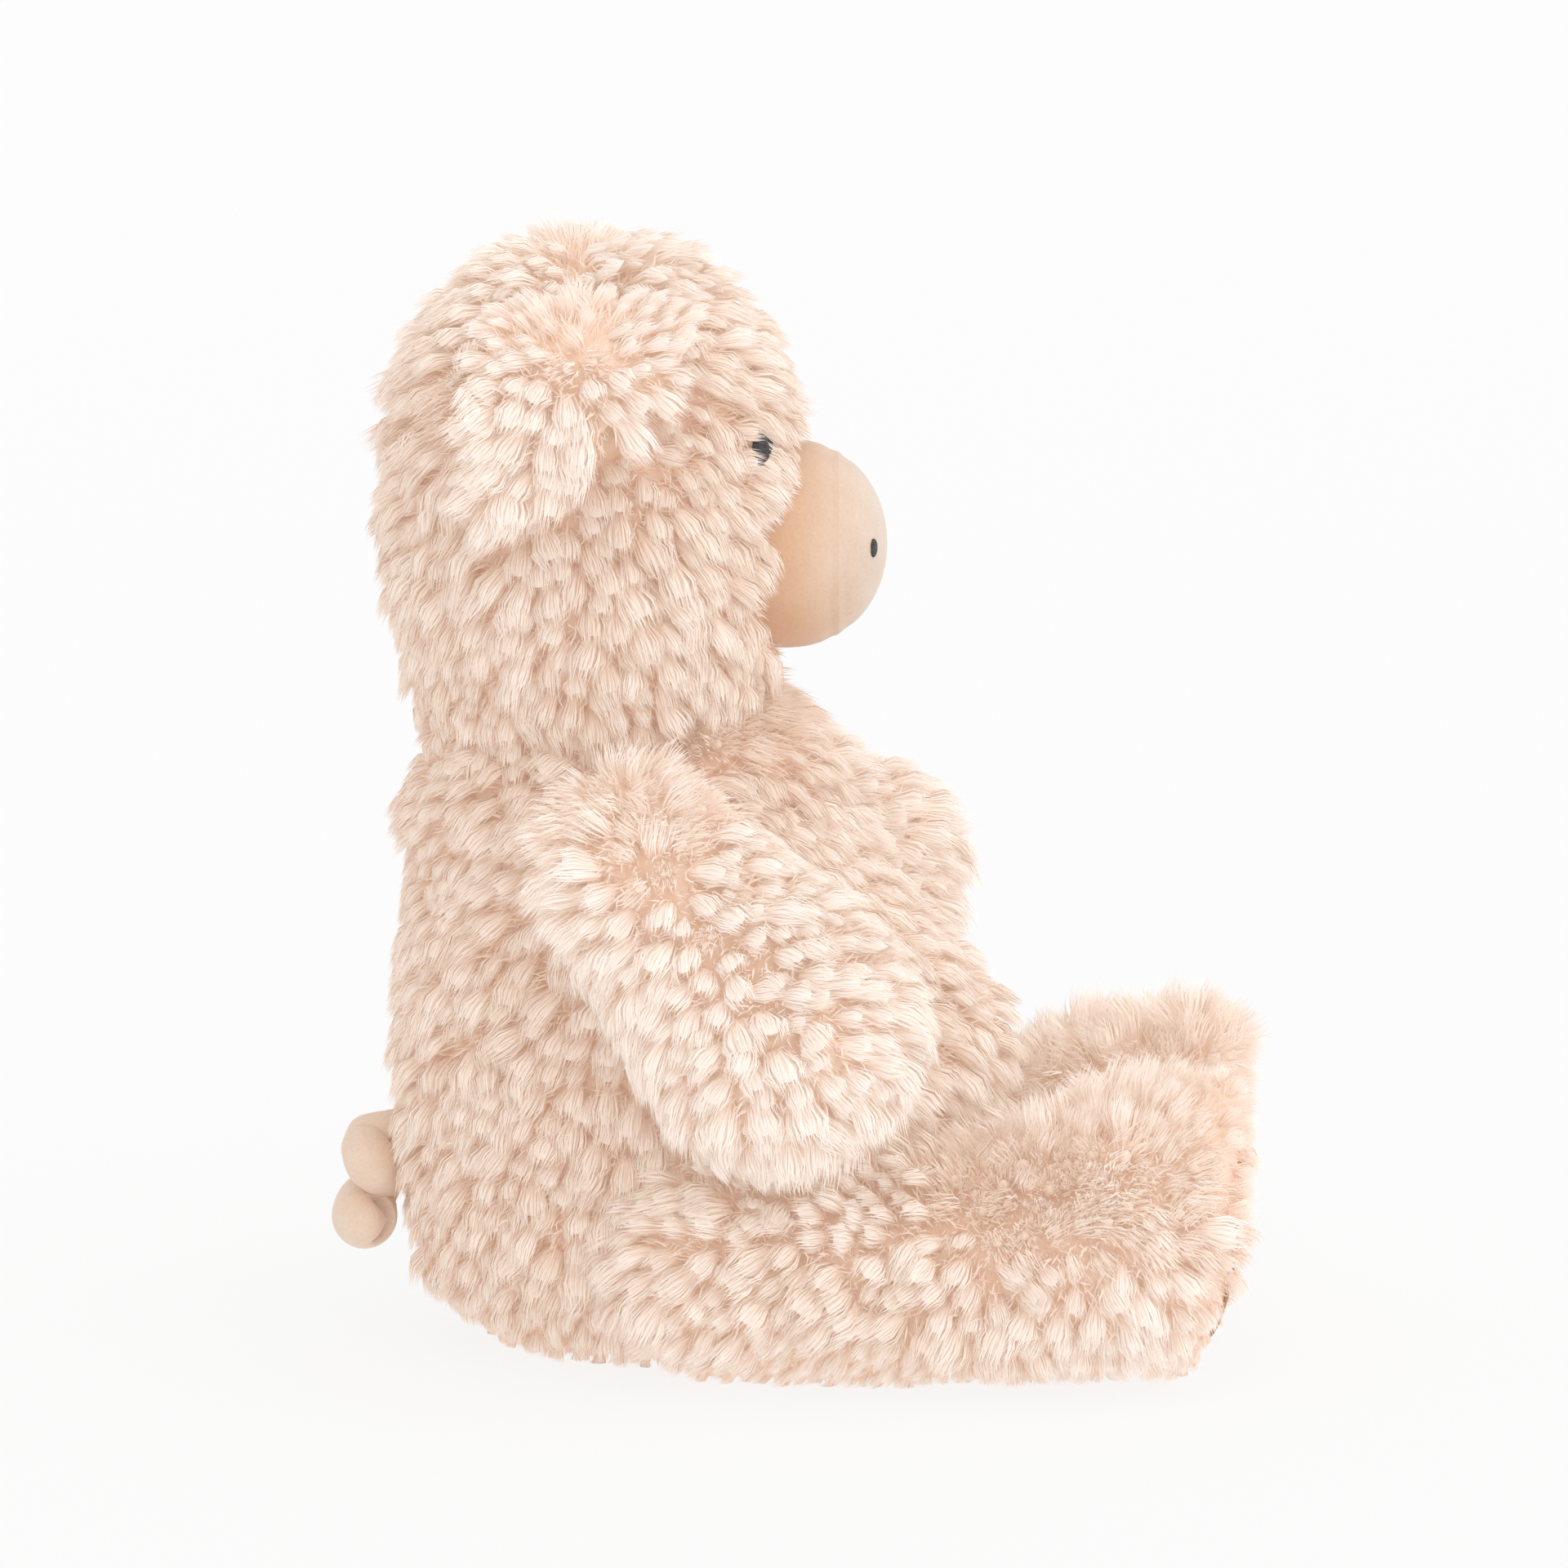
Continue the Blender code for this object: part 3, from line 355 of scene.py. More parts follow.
# What is left to chance: each value's range, its seed and its kind
drawn = {}
for name, lowest, highest, seed, kind in (
    ("lay", -0.12, 0.12, 19, "FLOAT"),
    ("stray", (-0.3, -0.3, -0.3), (0.3, 0.3, 0.3), 7, "FLOAT_VECTOR"),
    ("tint", given["Warmest"], given["Palest"], 11, "FLOAT"),
    ("length", given["Shortest"], given["Longest"], 12, "FLOAT"),
    ("pitch", -0.2, 0.18, 13, "FLOAT"),
    ("breadth", 0.85, 1.25, 14, "FLOAT"),
    ("roll", -0.3, 0.3, 17, "FLOAT"),
    ("lying kind", 0, WISP_KINDS - 1, 31, "INT"),
    ("standing kind", WISP_KINDS, WISP_KINDS + STANDING_KINDS - 1, 32, "INT"),
    ("undercoat tint", given["Warmest"], given["Palest"], 21, "FLOAT"),
    ("undercoat size", 0.8, 1.2, 22, "FLOAT"),
    ("undercoat kind", 0, UNDERCOAT_KINDS - 1, 23, "INT"),
):
    limits = {"Min": lowest, "Max": highest, "Seed": seed}
    drawn[name] = add_node(tufting, "FunctionNodeRandomValue", limits, data_type=kind)
spread = [
    add_node(tufting, "GeometryNodeDistributePointsOnFaces", {
        "Mesh": given["Form"],
        "Distance Min": given[spacing],
        "Density Max": given[density],
        "Density Factor": known["grow"],
        "Seed": given["Seed"],
    }, distribute_method="POISSON").outputs
    for spacing, density in (("Tuft spacing", "Tufts to try"), ("Undercoat spacing", "Undercoat to try"))
]
flatness = add_node(tufting, "ShaderNodeMath", {0: known["lay"], 1: drawn["lay"]}, operation="ADD")
standing = add_node(tufting, "ShaderNodeMath", {
    0: flatness, 1: given["Standing below"],
}, operation="LESS_THAN")
# The combing wavers every 18 mm or so
waves = add_node(tufting, "ShaderNodeTexNoise", {"Scale": 55.0, "Detail": 1.0})
centred = add_node(tufting, "ShaderNodeVectorMath", {
    0: waves.outputs["Color"], 1: (0.5, 0.5, 0.5),
}, operation="SUBTRACT")
swirl = add_node(tufting, "ShaderNodeVectorMath", {
    0: centred, 1: (1.6, 1.6, 1.6), 2: drawn["stray"],
}, operation="MULTIPLY_ADD")
combing = add_node(tufting, "ShaderNodeVectorMath", {0: known["comb"], 1: swirl}, operation="ADD")
length = add_node(tufting, "ShaderNodeMath", {0: drawn["length"], 1: known["crop"]}, operation="MULTIPLY")
breadth = add_node(tufting, "ShaderNodeMath", {0: length, 1: drawn["breadth"]}, operation="MULTIPLY")
shape = add_node(tufting, "ShaderNodeCombineXYZ", {0: breadth, 1: length, 2: length})
loose = add_node(tufting, "ShaderNodeMath", {0: 1.0, 1: known["lay"]}, operation="SUBTRACT")
stand = add_node(tufting, "ShaderNodeMath", {0: loose, 1: 0.22}, operation="MULTIPLY")
pitch = add_node(tufting, "ShaderNodeMath", {0: drawn["pitch"], 1: stand}, operation="ADD")
tilt = add_node(tufting, "ShaderNodeCombineXYZ", {0: known["pitch"], 1: drawn["roll"]})
tilting = add_node(tufting, "FunctionNodeEulerToRotation", {0: tilt})
# A tuft is turned to the combing and then tilted; the undercoat is only turned
turned, upward = (
    add_node(tufting, "FunctionNodeAxesToRotation", {
        0: facing, 1: known["comb"],
    }, primary_axis="Z", secondary_axis="Y")
    for facing in (known["facing"], spread[1]["Normal"])
)
tilted = add_node(tufting, "FunctionNodeRotateRotation", {0: turned, 1: tilting}, rotation_space="LOCAL")
tint, undercoat_tint = (
    add_node(tufting, "ShaderNodeMath", {0: drawn[name], 1: known["pale"]}, operation="ADD")
    for name in ("tint", "undercoat tint")
)
undercoat_size = add_node(tufting, "ShaderNodeMath", {
    0: drawn["undercoat size"], 1: known["crop"],
}, operation="MULTIPLY")
written = []
for points, values in (
    (spread[0]["Points"], (
        ("facing", spread[0]["Normal"], "FLOAT_VECTOR"),
        ("comb", combing, "FLOAT_VECTOR"),
        ("tint", tint, "FLOAT"),
        ("size", shape, "FLOAT_VECTOR"),
        ("pitch", pitch, "FLOAT"),
        ("standing", standing, "FLOAT"),
        ("way", tilted, "QUATERNION"),
    )),
    (spread[1]["Points"], (
        ("tint", undercoat_tint, "FLOAT"),
        ("way", upward, "QUATERNION"),
        ("size", undercoat_size, "FLOAT_VECTOR"),
    )),
):
    for name, value, kind in values:
        points = add_node(tufting, "GeometryNodeStoreNamedAttribute", {
            "Geometry": points, "Name": name, "Value": value,
        }, data_type=kind, domain="POINT")
    written.append(points)
tufts, short = written
copies = add_node(tufting, "GeometryNodeDuplicateElements", {
    "Geometry": tufts, "Amount": WISPS_ROUND,
}, domain="POINT").outputs
kind = add_node(tufting, "GeometryNodeSwitch", {
    0: known["standing"], 1: drawn["lying kind"], 2: drawn["standing kind"],
}, input_type="INT")
choice = add_node(tufting, "ShaderNodeMath", {
    0: kind, 1: float(WISPS_ROUND), 2: copies["Duplicate Index"],
}, operation="MULTIPLY_ADD")
joined = add_node(tufting, "GeometryNodeJoinGeometry")
for points, collection, pick in (
    (copies["Geometry"], wisps, choice),
    (tufts, cores, known["standing"]),
    (short, undercoats, drawn["undercoat kind"]),
):
    shapes = add_node(tufting, "GeometryNodeCollectionInfo", {
        "Collection": collection,
        "Separate Children": True,
        "Reset Children": True,
    })
    placed = add_node(tufting, "GeometryNodeInstanceOnPoints", {
        "Points": points,
        "Instance": shapes,
        "Pick Instance": True,
        "Instance Index": pick,
        "Rotation": known["way"],
        "Scale": known["size"],
    })
    tufting.links.new(placed.outputs[0], joined.inputs[0])
realized = add_node(tufting, "GeometryNodeRealizeInstances", {0: joined})
whole = add_node(tufting, "GeometryNodeJoinGeometry")
tufting.links.new(realized.outputs[0], whole.inputs[0])
tufting.links.new(given["Form"], whole.inputs[0])
# The map's two measures: the tint with a little of the fibre's shade, and the way from root to tip
tuft_share = add_node(tufting, "ShaderNodeMath", {0: known["tint"], 1: 0.72}, operation="MULTIPLY")
fibre_share = add_node(tufting, "ShaderNodeMath", {0: known["shade"], 1: 0.28}, operation="MULTIPLY")
shade = add_node(tufting, "ShaderNodeMath", {0: tuft_share, 1: fibre_share}, operation="ADD")
chart = add_node(tufting, "ShaderNodeCombineXYZ", {0: shade, 1: known["rise"]})
mapped = add_node(tufting, "GeometryNodeStoreNamedAttribute", {
    "Geometry": whole, "Name": "OFBake", "Value": chart,
}, data_type="FLOAT2", domain="CORNER")
dressed = add_node(tufting, "GeometryNodeSetMaterial", {"Geometry": mapped, "Material": pile_material})
add_node(tufting, "NodeGroupOutput", {0: dressed})

# The ground cloth lies this far inside the CAD form, and the tufts stand through that form
GROUND_DEPTH = 3.0 * MM
# Fibres that would reach the floor are laid on it, up to this high
FLOOR_REST = 0.25 * MM


def partway(values, start, end):
    """How far values have come from start to end, in millimetres, held between 0 and 1."""
    return np.clip((values / MM - start) / (end - start), 0, 1)


def combed(facings, flow):
    """The part of a flow that lies along the surface, and how flat the pile lies there."""
    along = flow - facings * (flow * facings).sum(1)[:, None]
    strength = np.linalg.norm(along, axis=1)
    return along / np.maximum(strength, 1)[:, None], np.clip(strength, 0, 1)


def fanned(places, middle, reach, outward, downward):
    """A flow away from a point or a line, seen from the side, and down. At the middle it is still."""
    away = (places - middle) * (0.35, 1, 1) / reach
    far = np.linalg.norm(away, axis=1)[:, None]
    return away / np.maximum(far, 1) * outward + np.array((0, 0, -1)) * downward * np.clip(far, 0, 1)


def add_object(name, data):
    thing = bpy.data.objects.new(name, data)
    bpy.context.scene.collection.objects.link(thing)
    return thing


def finish_piece(name, mesh, material, body, slot, fill, *hidden):
    """Makes a mesh the piece that stands for the hidden nodes. fill, how full it is stuffed, if it is, is not
    used.
    """
    piece = add_object(name, mesh)
    mesh.materials.clear()
    mesh.materials.append(material)
    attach(piece, body)
    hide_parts(*hidden)


# tints is a piece's range of tint from the warm colours to the pale, and pale adds to it by place. Beside
# random tone they hold painted light: paler where light falls on the toy, warmer in its shade.
def grow_pile(name, form, flow, seed, hidden, body, fill, grow=1.0, crop=1.0, tints=(0.0, 1.0), pale=0.0,
              depth=GROUND_DEPTH, spacing=4.4 * MM):
    """Tufts a form and makes it the piece that stands for the nodes in hidden."""
    places, facings = read_points(form)
    places = places - facings * (depth(places) if callable(depth) else depth)
    form.vertices.foreach_set("co", places.ravel())
    comb, lay = combed(facings, flow(places))
    scatter = np.random.default_rng(seed).uniform(0, 1, (2, len(places)))
    write_values(form, "comb", comb)
    write_values(form, "lay", lay)
    for measure, value in (("grow", grow), ("crop", crop), ("pale", pale)):
        write_values(form, measure, np.broadcast_to(value(places) if callable(value) else value, len(places)))
    write_values(form, "rise", 0.2 + scatter[0] * 0.3)
    write_values(form, "shade", scatter[1])
    cloth = add_object(name, form)
    tufted = cloth.modifiers.new("tufting", "NODES")
    tufted.node_group = tufting
    settings = {"Seed": seed, "Tuft spacing": spacing, "Warmest": tints[0], "Palest": tints[1]}
    for key, value in settings.items():
        tufted[tuft_inputs[key]] = value
    evaluated = cloth.evaluated_get(bpy.context.evaluated_depsgraph_get())
    mesh = bpy.data.meshes.new_from_object(evaluated)
    bpy.data.objects.remove(cloth)
    for attribute in known:
        if attribute in mesh.attributes:
            mesh.attributes.remove(mesh.attributes[attribute])
    heights, _ = read_points(mesh)
    under = heights[:, 2] < FLOOR_REST
    heights[under, 2] = FLOOR_REST * np.random.default_rng(seed).uniform(0.2, 1, under.sum())
    mesh.vertices.foreach_set("co", heights.ravel())
    mesh.name = name
    finish_piece(name, mesh, pile_material, body, "plush", fill, *hidden)


BODY_ROWS = (
    (149.7, 0, 0, 36),
    (148.9, 8.5, 8.5, 36),
    (142.5, 24.3, 24.3, 36),
    (130.6, 36.6, 36.6, 36),
    (115, 43.6, 43.6, 36),
    (105, 44.8, 46.5, 32.6),
    (94, 46.6, 49.4, 29.7),
    (84, 49.0, 54.0, 25.3),
    (74.8, 51.1, 58.0, 22.1),
    (65, 52.5, 60.6, 20.0),
    (50, 53, 61, 19),
    (29.9, 50.9, 59.2, 19),
    (15, 46.1, 53.7, 20.5),
    (4.6, 38.2, 43.9, 22.1),
    (0, 29.7, 35.4, 24.1),
    (0, 0, 0, 24.1),
)
BODY_PARTING = np.array((0, 26, 104)) * MM
PARTING_REACH = 12 * MM
SEAT_LINE = 1.5 * MM
HEAD_RIM = np.array((0, 42)) * MM
HEAD_RIM_REACH = 30.5 * MM


def clear_of_head(places):
    """The body's pile stops where the head's cover hides it, and under the seat."""
    beyond = np.linalg.norm(places[:, :2] - HEAD_RIM, axis=1) > HEAD_RIM_REACH
    return (beyond | (places[:, 2] < 112 * MM)) & (places[:, 2] > SEAT_LINE)


def clipped_underneath(places):
    """The pile is short where the toy sits on it."""
    return 1 - 0.5 * partway(places[:, 2], 18, 6)


def body_crop(places):
    """The pile is a little shorter over the top of the back."""
    back = partway(places[:, 1], 45, 60) * partway(places[:, 2], 82, 92)
    return clipped_underneath(places) * (1 - 0.12 * back)


def body_depth(places):
    """The cloth is pulled further in towards the shoulders."""
    return (2.4 + 1.2 * partway(places[:, 2:], 90, 115)) * MM


def belly_painted_light(places):
    """Painted light and shade: the pile is paler over the belly, which faces the light, and darker at the
    seat, in shade.
    """
    return 0.2 * partway(places[:, 1], 0, -20) - 0.1 * partway(places[:, 2], 45, 25)


body_form = skinned("body_plush", upright_rings(BODY_ROWS), 60, 72)
grow_pile(
    "body_plush", body_form, lambda places: fanned(places, BODY_PARTING, PARTING_REACH, 0.7, 0.95), 3,
    ("body_cover",), "torso", fill=0.6, grow=clear_of_head, crop=body_crop, tints=(0.05, 0.6),
    pale=belly_painted_light, depth=body_depth, spacing=4.65 * MM,
)


# Head cover
# A round of the same plush with full cheeks, gathered at the neck seam. The pile is clipped round the
# stitched eyes and left off under the snout, which is sewn straight to the ground cloth.

HEAD_ROWS = (
    (232, 0, 0, 42),
    (228.6, 17.9, 16.1, 42),
    (221.7, 30.7, 27.5, 42),
    (211.5, 40.3, 36.1, 42),
    (198.9, 46.8, 41.1, 42),
    (184.1, 51.2, 43.0, 42),
    (167, 52, 42.6, 42),
    (149.9, 48.9, 41.1, 42),
    (137.4, 43.2, 38.9, 42),
    (129.4, 38.5, 37.2, 42),
    (121.4, 34.1, 33.5, 42),
    (118, 0, 0, 42),
)
HEAD_PARTING = np.array((0, 46, 186)) * MM
HEAD_GROUND_DEPTH = 5.2 * MM
SNOUT_MIDDLE = np.array((0, -2, 167)) * MM
SNOUT_HALF_WIDTH = 24.5 * MM
SNOUT_HALF_HEIGHT = 21.5 * MM
EYE_PLACES = np.array(((27, 7, 191), (-27, 7, 191))) * MM
EYE_CLIPPING = 4 * MM
EYE_CLIPPED = 0.8
EYE_SINK = 1.2 * MM


def bare_for_snout(places):
    across = (places[:, 0] / SNOUT_HALF_WIDTH) ** 2
    upward = ((places[:, 2] - SNOUT_MIDDLE[2]) / SNOUT_HALF_HEIGHT) ** 2
    return (across + upward > 1) | (places[:, 1] > 30 * MM)


def head_crop(places):
    """The pile is clipped at the eyes, under the ears and towards the neck."""
    near = np.min([np.linalg.norm(places - eye, axis=1) for eye in EYE_PLACES], axis=0)
    clipped = EYE_CLIPPED + (1 - EYE_CLIPPED) * np.clip(near / EYE_CLIPPING - 0.45, 0, 1)
    beside_root = np.abs(places[:, 1] - 42 * MM) < 19 * MM
    under_ear = beside_root & (np.abs(places[:, 0]) > 33 * MM) & (places[:, 2] > 190 * MM)
    return np.where(under_ear, 0.68, clipped * (1 - 0.25 * partway(places[:, 2], 160, 135)))


def head_flow(places):
    """The pile runs out from above the ears, and over the crown it parts to both sides."""
    crown = (places - HEAD_PARTING) * (1, 1, 0)
    crown /= np.maximum(np.linalg.norm(crown, axis=1), 6 * MM)[:, None]
    crown *= partway(places[:, 2:], 195, 220) * 0.9
    return fanned(places, HEAD_PARTING, PARTING_REACH, 0.7, 0.6) + crown


def crown_painted_light(places):
    """Painted light: the crown is drawn as the palest part of the head, for the light from above."""
    return 0.45 * partway(places[:, 2], 198, 220)


head_form = skinned("head_plush", upright_rings(HEAD_ROWS), 48, 72)
grow_pile(
    "head_plush", head_form, head_flow, 5,
    ("head_cover",), "head", fill=0.7, grow=bare_for_snout, crop=head_crop, tints=(0.05, 0.7),
    pale=crown_painted_light, depth=HEAD_GROUND_DEPTH,
)


# Snout
# Two pieces of short-pile velour: a gusset round the side and a domed front panel, joined by a turned seam
# that dimples the cloth on each side of it, and stuffed hard.

def velour(name, shade, light, tip_shade=None, tip_light=None):
    """Short-pile velour: a knit shorn to a nap of half a millimetre, matt, with a soft bloom at its edges."""
    material, tree, shader = new_material(name, 0.95, 0.45, 0.45)
    place = add_node(tree, "ShaderNodeTexCoord").outputs["Object"]
    # Stroked patches of 11 mm, and a nap of 0.7 mm, drawn coarser than the real one, which wouldn't show
    patches = add_node(tree, "ShaderNodeTexNoise", {"Vector": place, "Scale": 90.0, "Detail": 3.0})
    nap = add_node(tree, "ShaderNodeTexNoise", {"Vector": place, "Scale": 1500.0, "Detail": 4.0})
    mixed = add_node(tree, "ShaderNodeMath", {0: patches, 1: nap}, operation="ADD")
    halved = add_node(tree, "ShaderNodeMath", {0: mixed, 1: 0.5}, operation="MULTIPLY")
    shades = add_node(tree, "ShaderNodeValToRGB", {0: halved}, stops=((0.35, shade), (0.65, light)))
    colour = shades.outputs[0]
    if tip_shade:
        # Painted light: the snout is drawn paler from the face to the tip, for the light on its front
        forward = add_node(tree, "ShaderNodeSeparateXYZ", {0: place}).outputs["Y"]
        front_light_paling = add_node(tree, "ShaderNodeMapRange", {0: forward, 1: 1 * MM, 2: -15 * MM})
        tip_colour = add_node(tree, "ShaderNodeValToRGB", {0: halved}, stops=(
            (0.35, tip_shade), (0.65, tip_light),
        ))
        mixed = add_node(tree, "ShaderNodeMix", {0: front_light_paling, 6: colour, 7: tip_colour}, data_type="RGBA")
        colour = mixed.outputs[2]
    tree.links.new(colour, shader.inputs["Base Color"])
    bump = add_node(tree, "ShaderNodeBump", {"Height": nap, "Strength": 0.35, "Distance": 0.25 * MM})
    tree.links.new(bump.outputs[0], shader.inputs["Normal"])
    return material


peach_velour = velour("peach_velour", "#E2B594", "#EBC6A9")
pale_velour = velour("pale_velour", "#E8CAB2", "#F0DAC8")
snout_velour = velour("snout_velour", "#DCB292", "#E5BFA1", "#DFC6B2", "#E7D5C5")
SNOUT_TIP = -18.6
SNOUT_WIDEST = 3
SNOUT_SEAM = -8.5
SNOUT_BACK = 9.0
SEAM_TUCK = 0.55


def snout_ring(forward, tuck=0.0):
    """A ring of the snout at a distance from its tip back to the face, drawn in by the seam's tuck."""
    share = min(max(SNOUT_WIDEST - forward, 0) / (SNOUT_WIDEST - SNOUT_TIP), 1)
    size = (1 - share ** 2.3) ** 0.5
    return (0, forward, 167, max(24.5 * size - tuck, 0), 0, 0, 0, 0, max(21.5 * size - tuck, 0))


def snout_rows(start, end, count):
    rows = []
    for step in range(count + 1):
        # The rings lie closer together towards the tip
        share = 1 - math.cos(math.pi / 2 * step / count) if start < -10 else step / count
        forward = start + (end - start) * share
        beside = forward - SNOUT_SEAM
        tuck = SEAM_TUCK * (math.exp(-(beside / 2.6) ** 2) - math.exp(-(beside / 1.1) ** 2) * 0.9)
        rows.append(snout_ring(forward, tuck))
    return rows


front_rows = snout_rows(SNOUT_TIP, SNOUT_SEAM, 30)
front_rows += [snout_ring(SNOUT_SEAM + 0.35, 0.3), snout_ring(SNOUT_SEAM + 0.6, 2.5)]
front_rows += [(0, SNOUT_SEAM + 1.2, 167, 0, 0, 0, 0, 0, 0)]
side_rows = snout_rows(SNOUT_SEAM + 0.3, SNOUT_BACK, 30)
side_rows = [snout_ring(SNOUT_SEAM - 0.1, 0.5), *side_rows, side_rows[-1]]
side_rows = [(0, SNOUT_SEAM, 167, 0, 0, 0, 0, 0, 0), snout_ring(SNOUT_SEAM - 0.4, 2.5), *side_rows]
side_rows += [(0, SNOUT_BACK, 167, 0, 0, 0, 0, 0, 0)]
for node, rows in (("snout_front", front_rows), ("snout_side", side_rows)):
    snout = skinned(f"{node}_velour", rows, 90, 96)
    finish_piece(f"{node}_velour", snout, snout_velour, "head", "velour", 0.9, node)


# Eyes and nostrils
# Satin stitch in dark grey polyester thread over a small pad, sewn through the cover. Fur half hides an eye.

# Filament polyester, smoother than the plush, so its rows catch a soft line of light. Its twist repeats at
# 0.45 mm.
thread_material, thread, shader = new_material("satin_stitch_thread", 0.5, 0.2, 0.4)
place = add_node(thread, "ShaderNodeTexCoord").outputs["Object"]
twist = add_node(thread, "ShaderNodeTexNoise", {"Vector": place, "Scale": 2200.0, "Detail": 2.0})
greys = add_node(thread, "ShaderNodeValToRGB", {0: twist}, stops=((0.3, "#2A292B"), (0.7, "#5E5B5C")))
thread.links.new(greys.outputs[0], shader.inputs["Base Color"])
THREAD_WIDTH = 0.42 * MM

stitching, stitch_inputs, given = new_tree("satin_stitch", "Pad", "Stitches", (
    ("Stitches", 20),
    ("Half width", 4 * MM),
    ("Half height", 4 * MM),
    ("Rise", 1 * MM),
))
count = given["Stitches"]
row = add_node(stitching, "GeometryNodeMeshLine", {"Count": count})
# A stitch's share of the way from the middle to the edge, and how long that leaves it on an oval
index = add_node(stitching, "GeometryNodeInputIndex")
twice = add_node(stitching, "ShaderNodeMath", {0: index, 1: 2.0}, operation="MULTIPLY")
odd = add_node(stitching, "ShaderNodeMath", {0: twice, 1: 1.0}, operation="ADD")
doubled = add_node(stitching, "ShaderNodeMath", {0: odd, 1: count}, operation="DIVIDE")
share = add_node(stitching, "ShaderNodeMath", {0: doubled, 1: 1.0}, operation="SUBTRACT")
square = add_node(stitching, "ShaderNodeMath", {0: share, 1: share}, operation="MULTIPLY")
left_over = add_node(stitching, "ShaderNodeMath", {0: 1.0, 1: square}, operation="SUBTRACT")
reach = add_node(stitching, "ShaderNodeMath", {0: left_over}, operation="SQRT")
aside, tall, raised = (
    add_node(stitching, "ShaderNodeMath", {0: part, 1: given[size]}, operation="MULTIPLY")
    for part, size in ((share, "Half width"), (reach, "Half height"), (reach, "Rise"))
)
spot = add_node(stitching, "ShaderNodeCombineXYZ", {0: aside})
lined = add_node(stitching, "GeometryNodeSetPosition", {"Geometry": row, "Position": spot})
arc = add_node(stitching, "GeometryNodeCurveArc", {
    "Resolution": 9, "Radius": 1.0, "Start Angle": 0.0, "Sweep Angle": math.pi,
}, mode="RADIUS")
upright = add_node(stitching, "GeometryNodeTransform", {
    "Geometry": arc, "Rotation": (math.pi / 2, 0, math.pi / 2),
})
size = add_node(stitching, "ShaderNodeCombineXYZ", {0: 1.0, 1: tall, 2: raised})
sewn = add_node(stitching, "GeometryNodeInstanceOnPoints", {
    "Points": lined, "Instance": upright, "Scale": size,
})
strands = add_node(stitching, "GeometryNodeRealizeInstances", {0: sewn})
round_thread = add_node(stitching, "GeometryNodeCurvePrimitiveCircle", {
    "Resolution": 6, "Radius": THREAD_WIDTH / 2,
})
threads = add_node(stitching, "GeometryNodeCurveToMesh", {
    "Curve": strands, "Profile Curve": round_thread, "Fill Caps": True,
})
together = add_node(stitching, "GeometryNodeJoinGeometry")
stitching.links.new(threads.outputs[0], together.inputs[0])
stitching.links.new(given["Pad"], together.inputs[0])
sewn_up = add_node(stitching, "GeometryNodeSetMaterial", {
    "Geometry": together, "Material": thread_material,
})
add_node(stitching, "NodeGroupOutput", {0: sewn_up})


def satin_patch(name, node, middle, facing, stitches, half_width, half_height, rise, turn):
    """An oval of satin stitches on its pad, square to the surface at its place."""
    pad_rows = [(0, 0, rise * 0.8, 1, 0, 0, 0, 1, 0)]
    for step in range(1, 7):
        angle = math.pi / 2 * step / 6
        wide, tall = half_width * math.sin(angle) * 0.96, half_height * math.sin(angle) * 0.96
        pad_rows.append((0, 0, rise * 0.8 * math.cos(angle), wide, 0, 0, 0, tall, 0))
    pad_rows.append((0, 0, 0, 1, 0, 0, 0, 1, 0))
    pad = add_object(name, skinned(name, pad_rows, 12, 24))
    stitch = pad.modifiers.new("satin_stitch", "NODES")
    stitch.node_group = stitching
    for key, value in (("Stitches", stitches), ("Half width", half_width * MM),
                       ("Half height", half_height * MM), ("Rise", rise * MM)):
        stitch[stitch_inputs[key]] = value
    mesh = bpy.data.meshes.new_from_object(pad.evaluated_get(bpy.context.evaluated_depsgraph_get()))
    bpy.data.objects.remove(pad)
    across = Vector((0, 0, 1)).cross(facing).normalized()
    upward = facing.cross(across)
    square = Matrix((across, upward, facing)).transposed().to_4x4()
    mesh.transform(Matrix.Translation(middle) @ square @ Matrix.Rotation(turn, 4, "Z"))
    mesh.name = name
    finish_piece(name, mesh, thread_material, "head", "thread", None, node)


# The sign of X on each side of the toy, and the side's name
SIDES = ((1, "left"), (-1, "right"))
for side, name in SIDES:
    looks = Vector((side * 0.52, -0.83, 0.2)).normalized()
    low, high = (Vector(corner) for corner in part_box(f"eye_{name}"))
    eye = (low + high) / 2 - looks * EYE_SINK
    satin_patch(f"eye_{name}_stitches", f"eye_{name}", eye, looks, 16, 3.2, 4.2, 1.2, side * 0.9)
    sniffs = Vector((side * 0.36, -0.93, 0.02)).normalized()
    nostril = Vector((side * 13.0, -15.6, 168)) * MM
    satin_patch(f"nostril_{name}_stitches", f"nostril_{name}", nostril, sniffs, 7, 1.3, 1.8, 0.6, side * 0.1)


# Ears
# Each ear is plush outside and velour inside, turned and lightly padded, then folded down over the side of
# the head and caught in the seam along its root.

EAR_ROOT = (34.5, 42, 217.6)
EAR_OUT = 29
EAR_DROP = 32
# Along the flap: its middle out and up, its half width and thickness, and how far it lies back
EAR_PATH = ((0.0, 0.0), (0.16, 0.03), (0.42, 0.05), (0.72, -0.05), (0.93, -0.26), (1.0, -0.54), (0.95, -0.98))
EAR_SWELL = ((0.80, 0.70), (0.88, 0.74), (0.96, 0.9), (1.00, 1.00), (0.98, 1.00), (0.72, 0.9), (0.40, 0.60))
EAR_BACK = ((0.0,), (0.0,), (0.0,), (0.5,), (2.5,), (9.0,), (15.0,))
EAR_HALF_WIDTH = 20.5
EAR_HALF_THICKNESS = 4.2


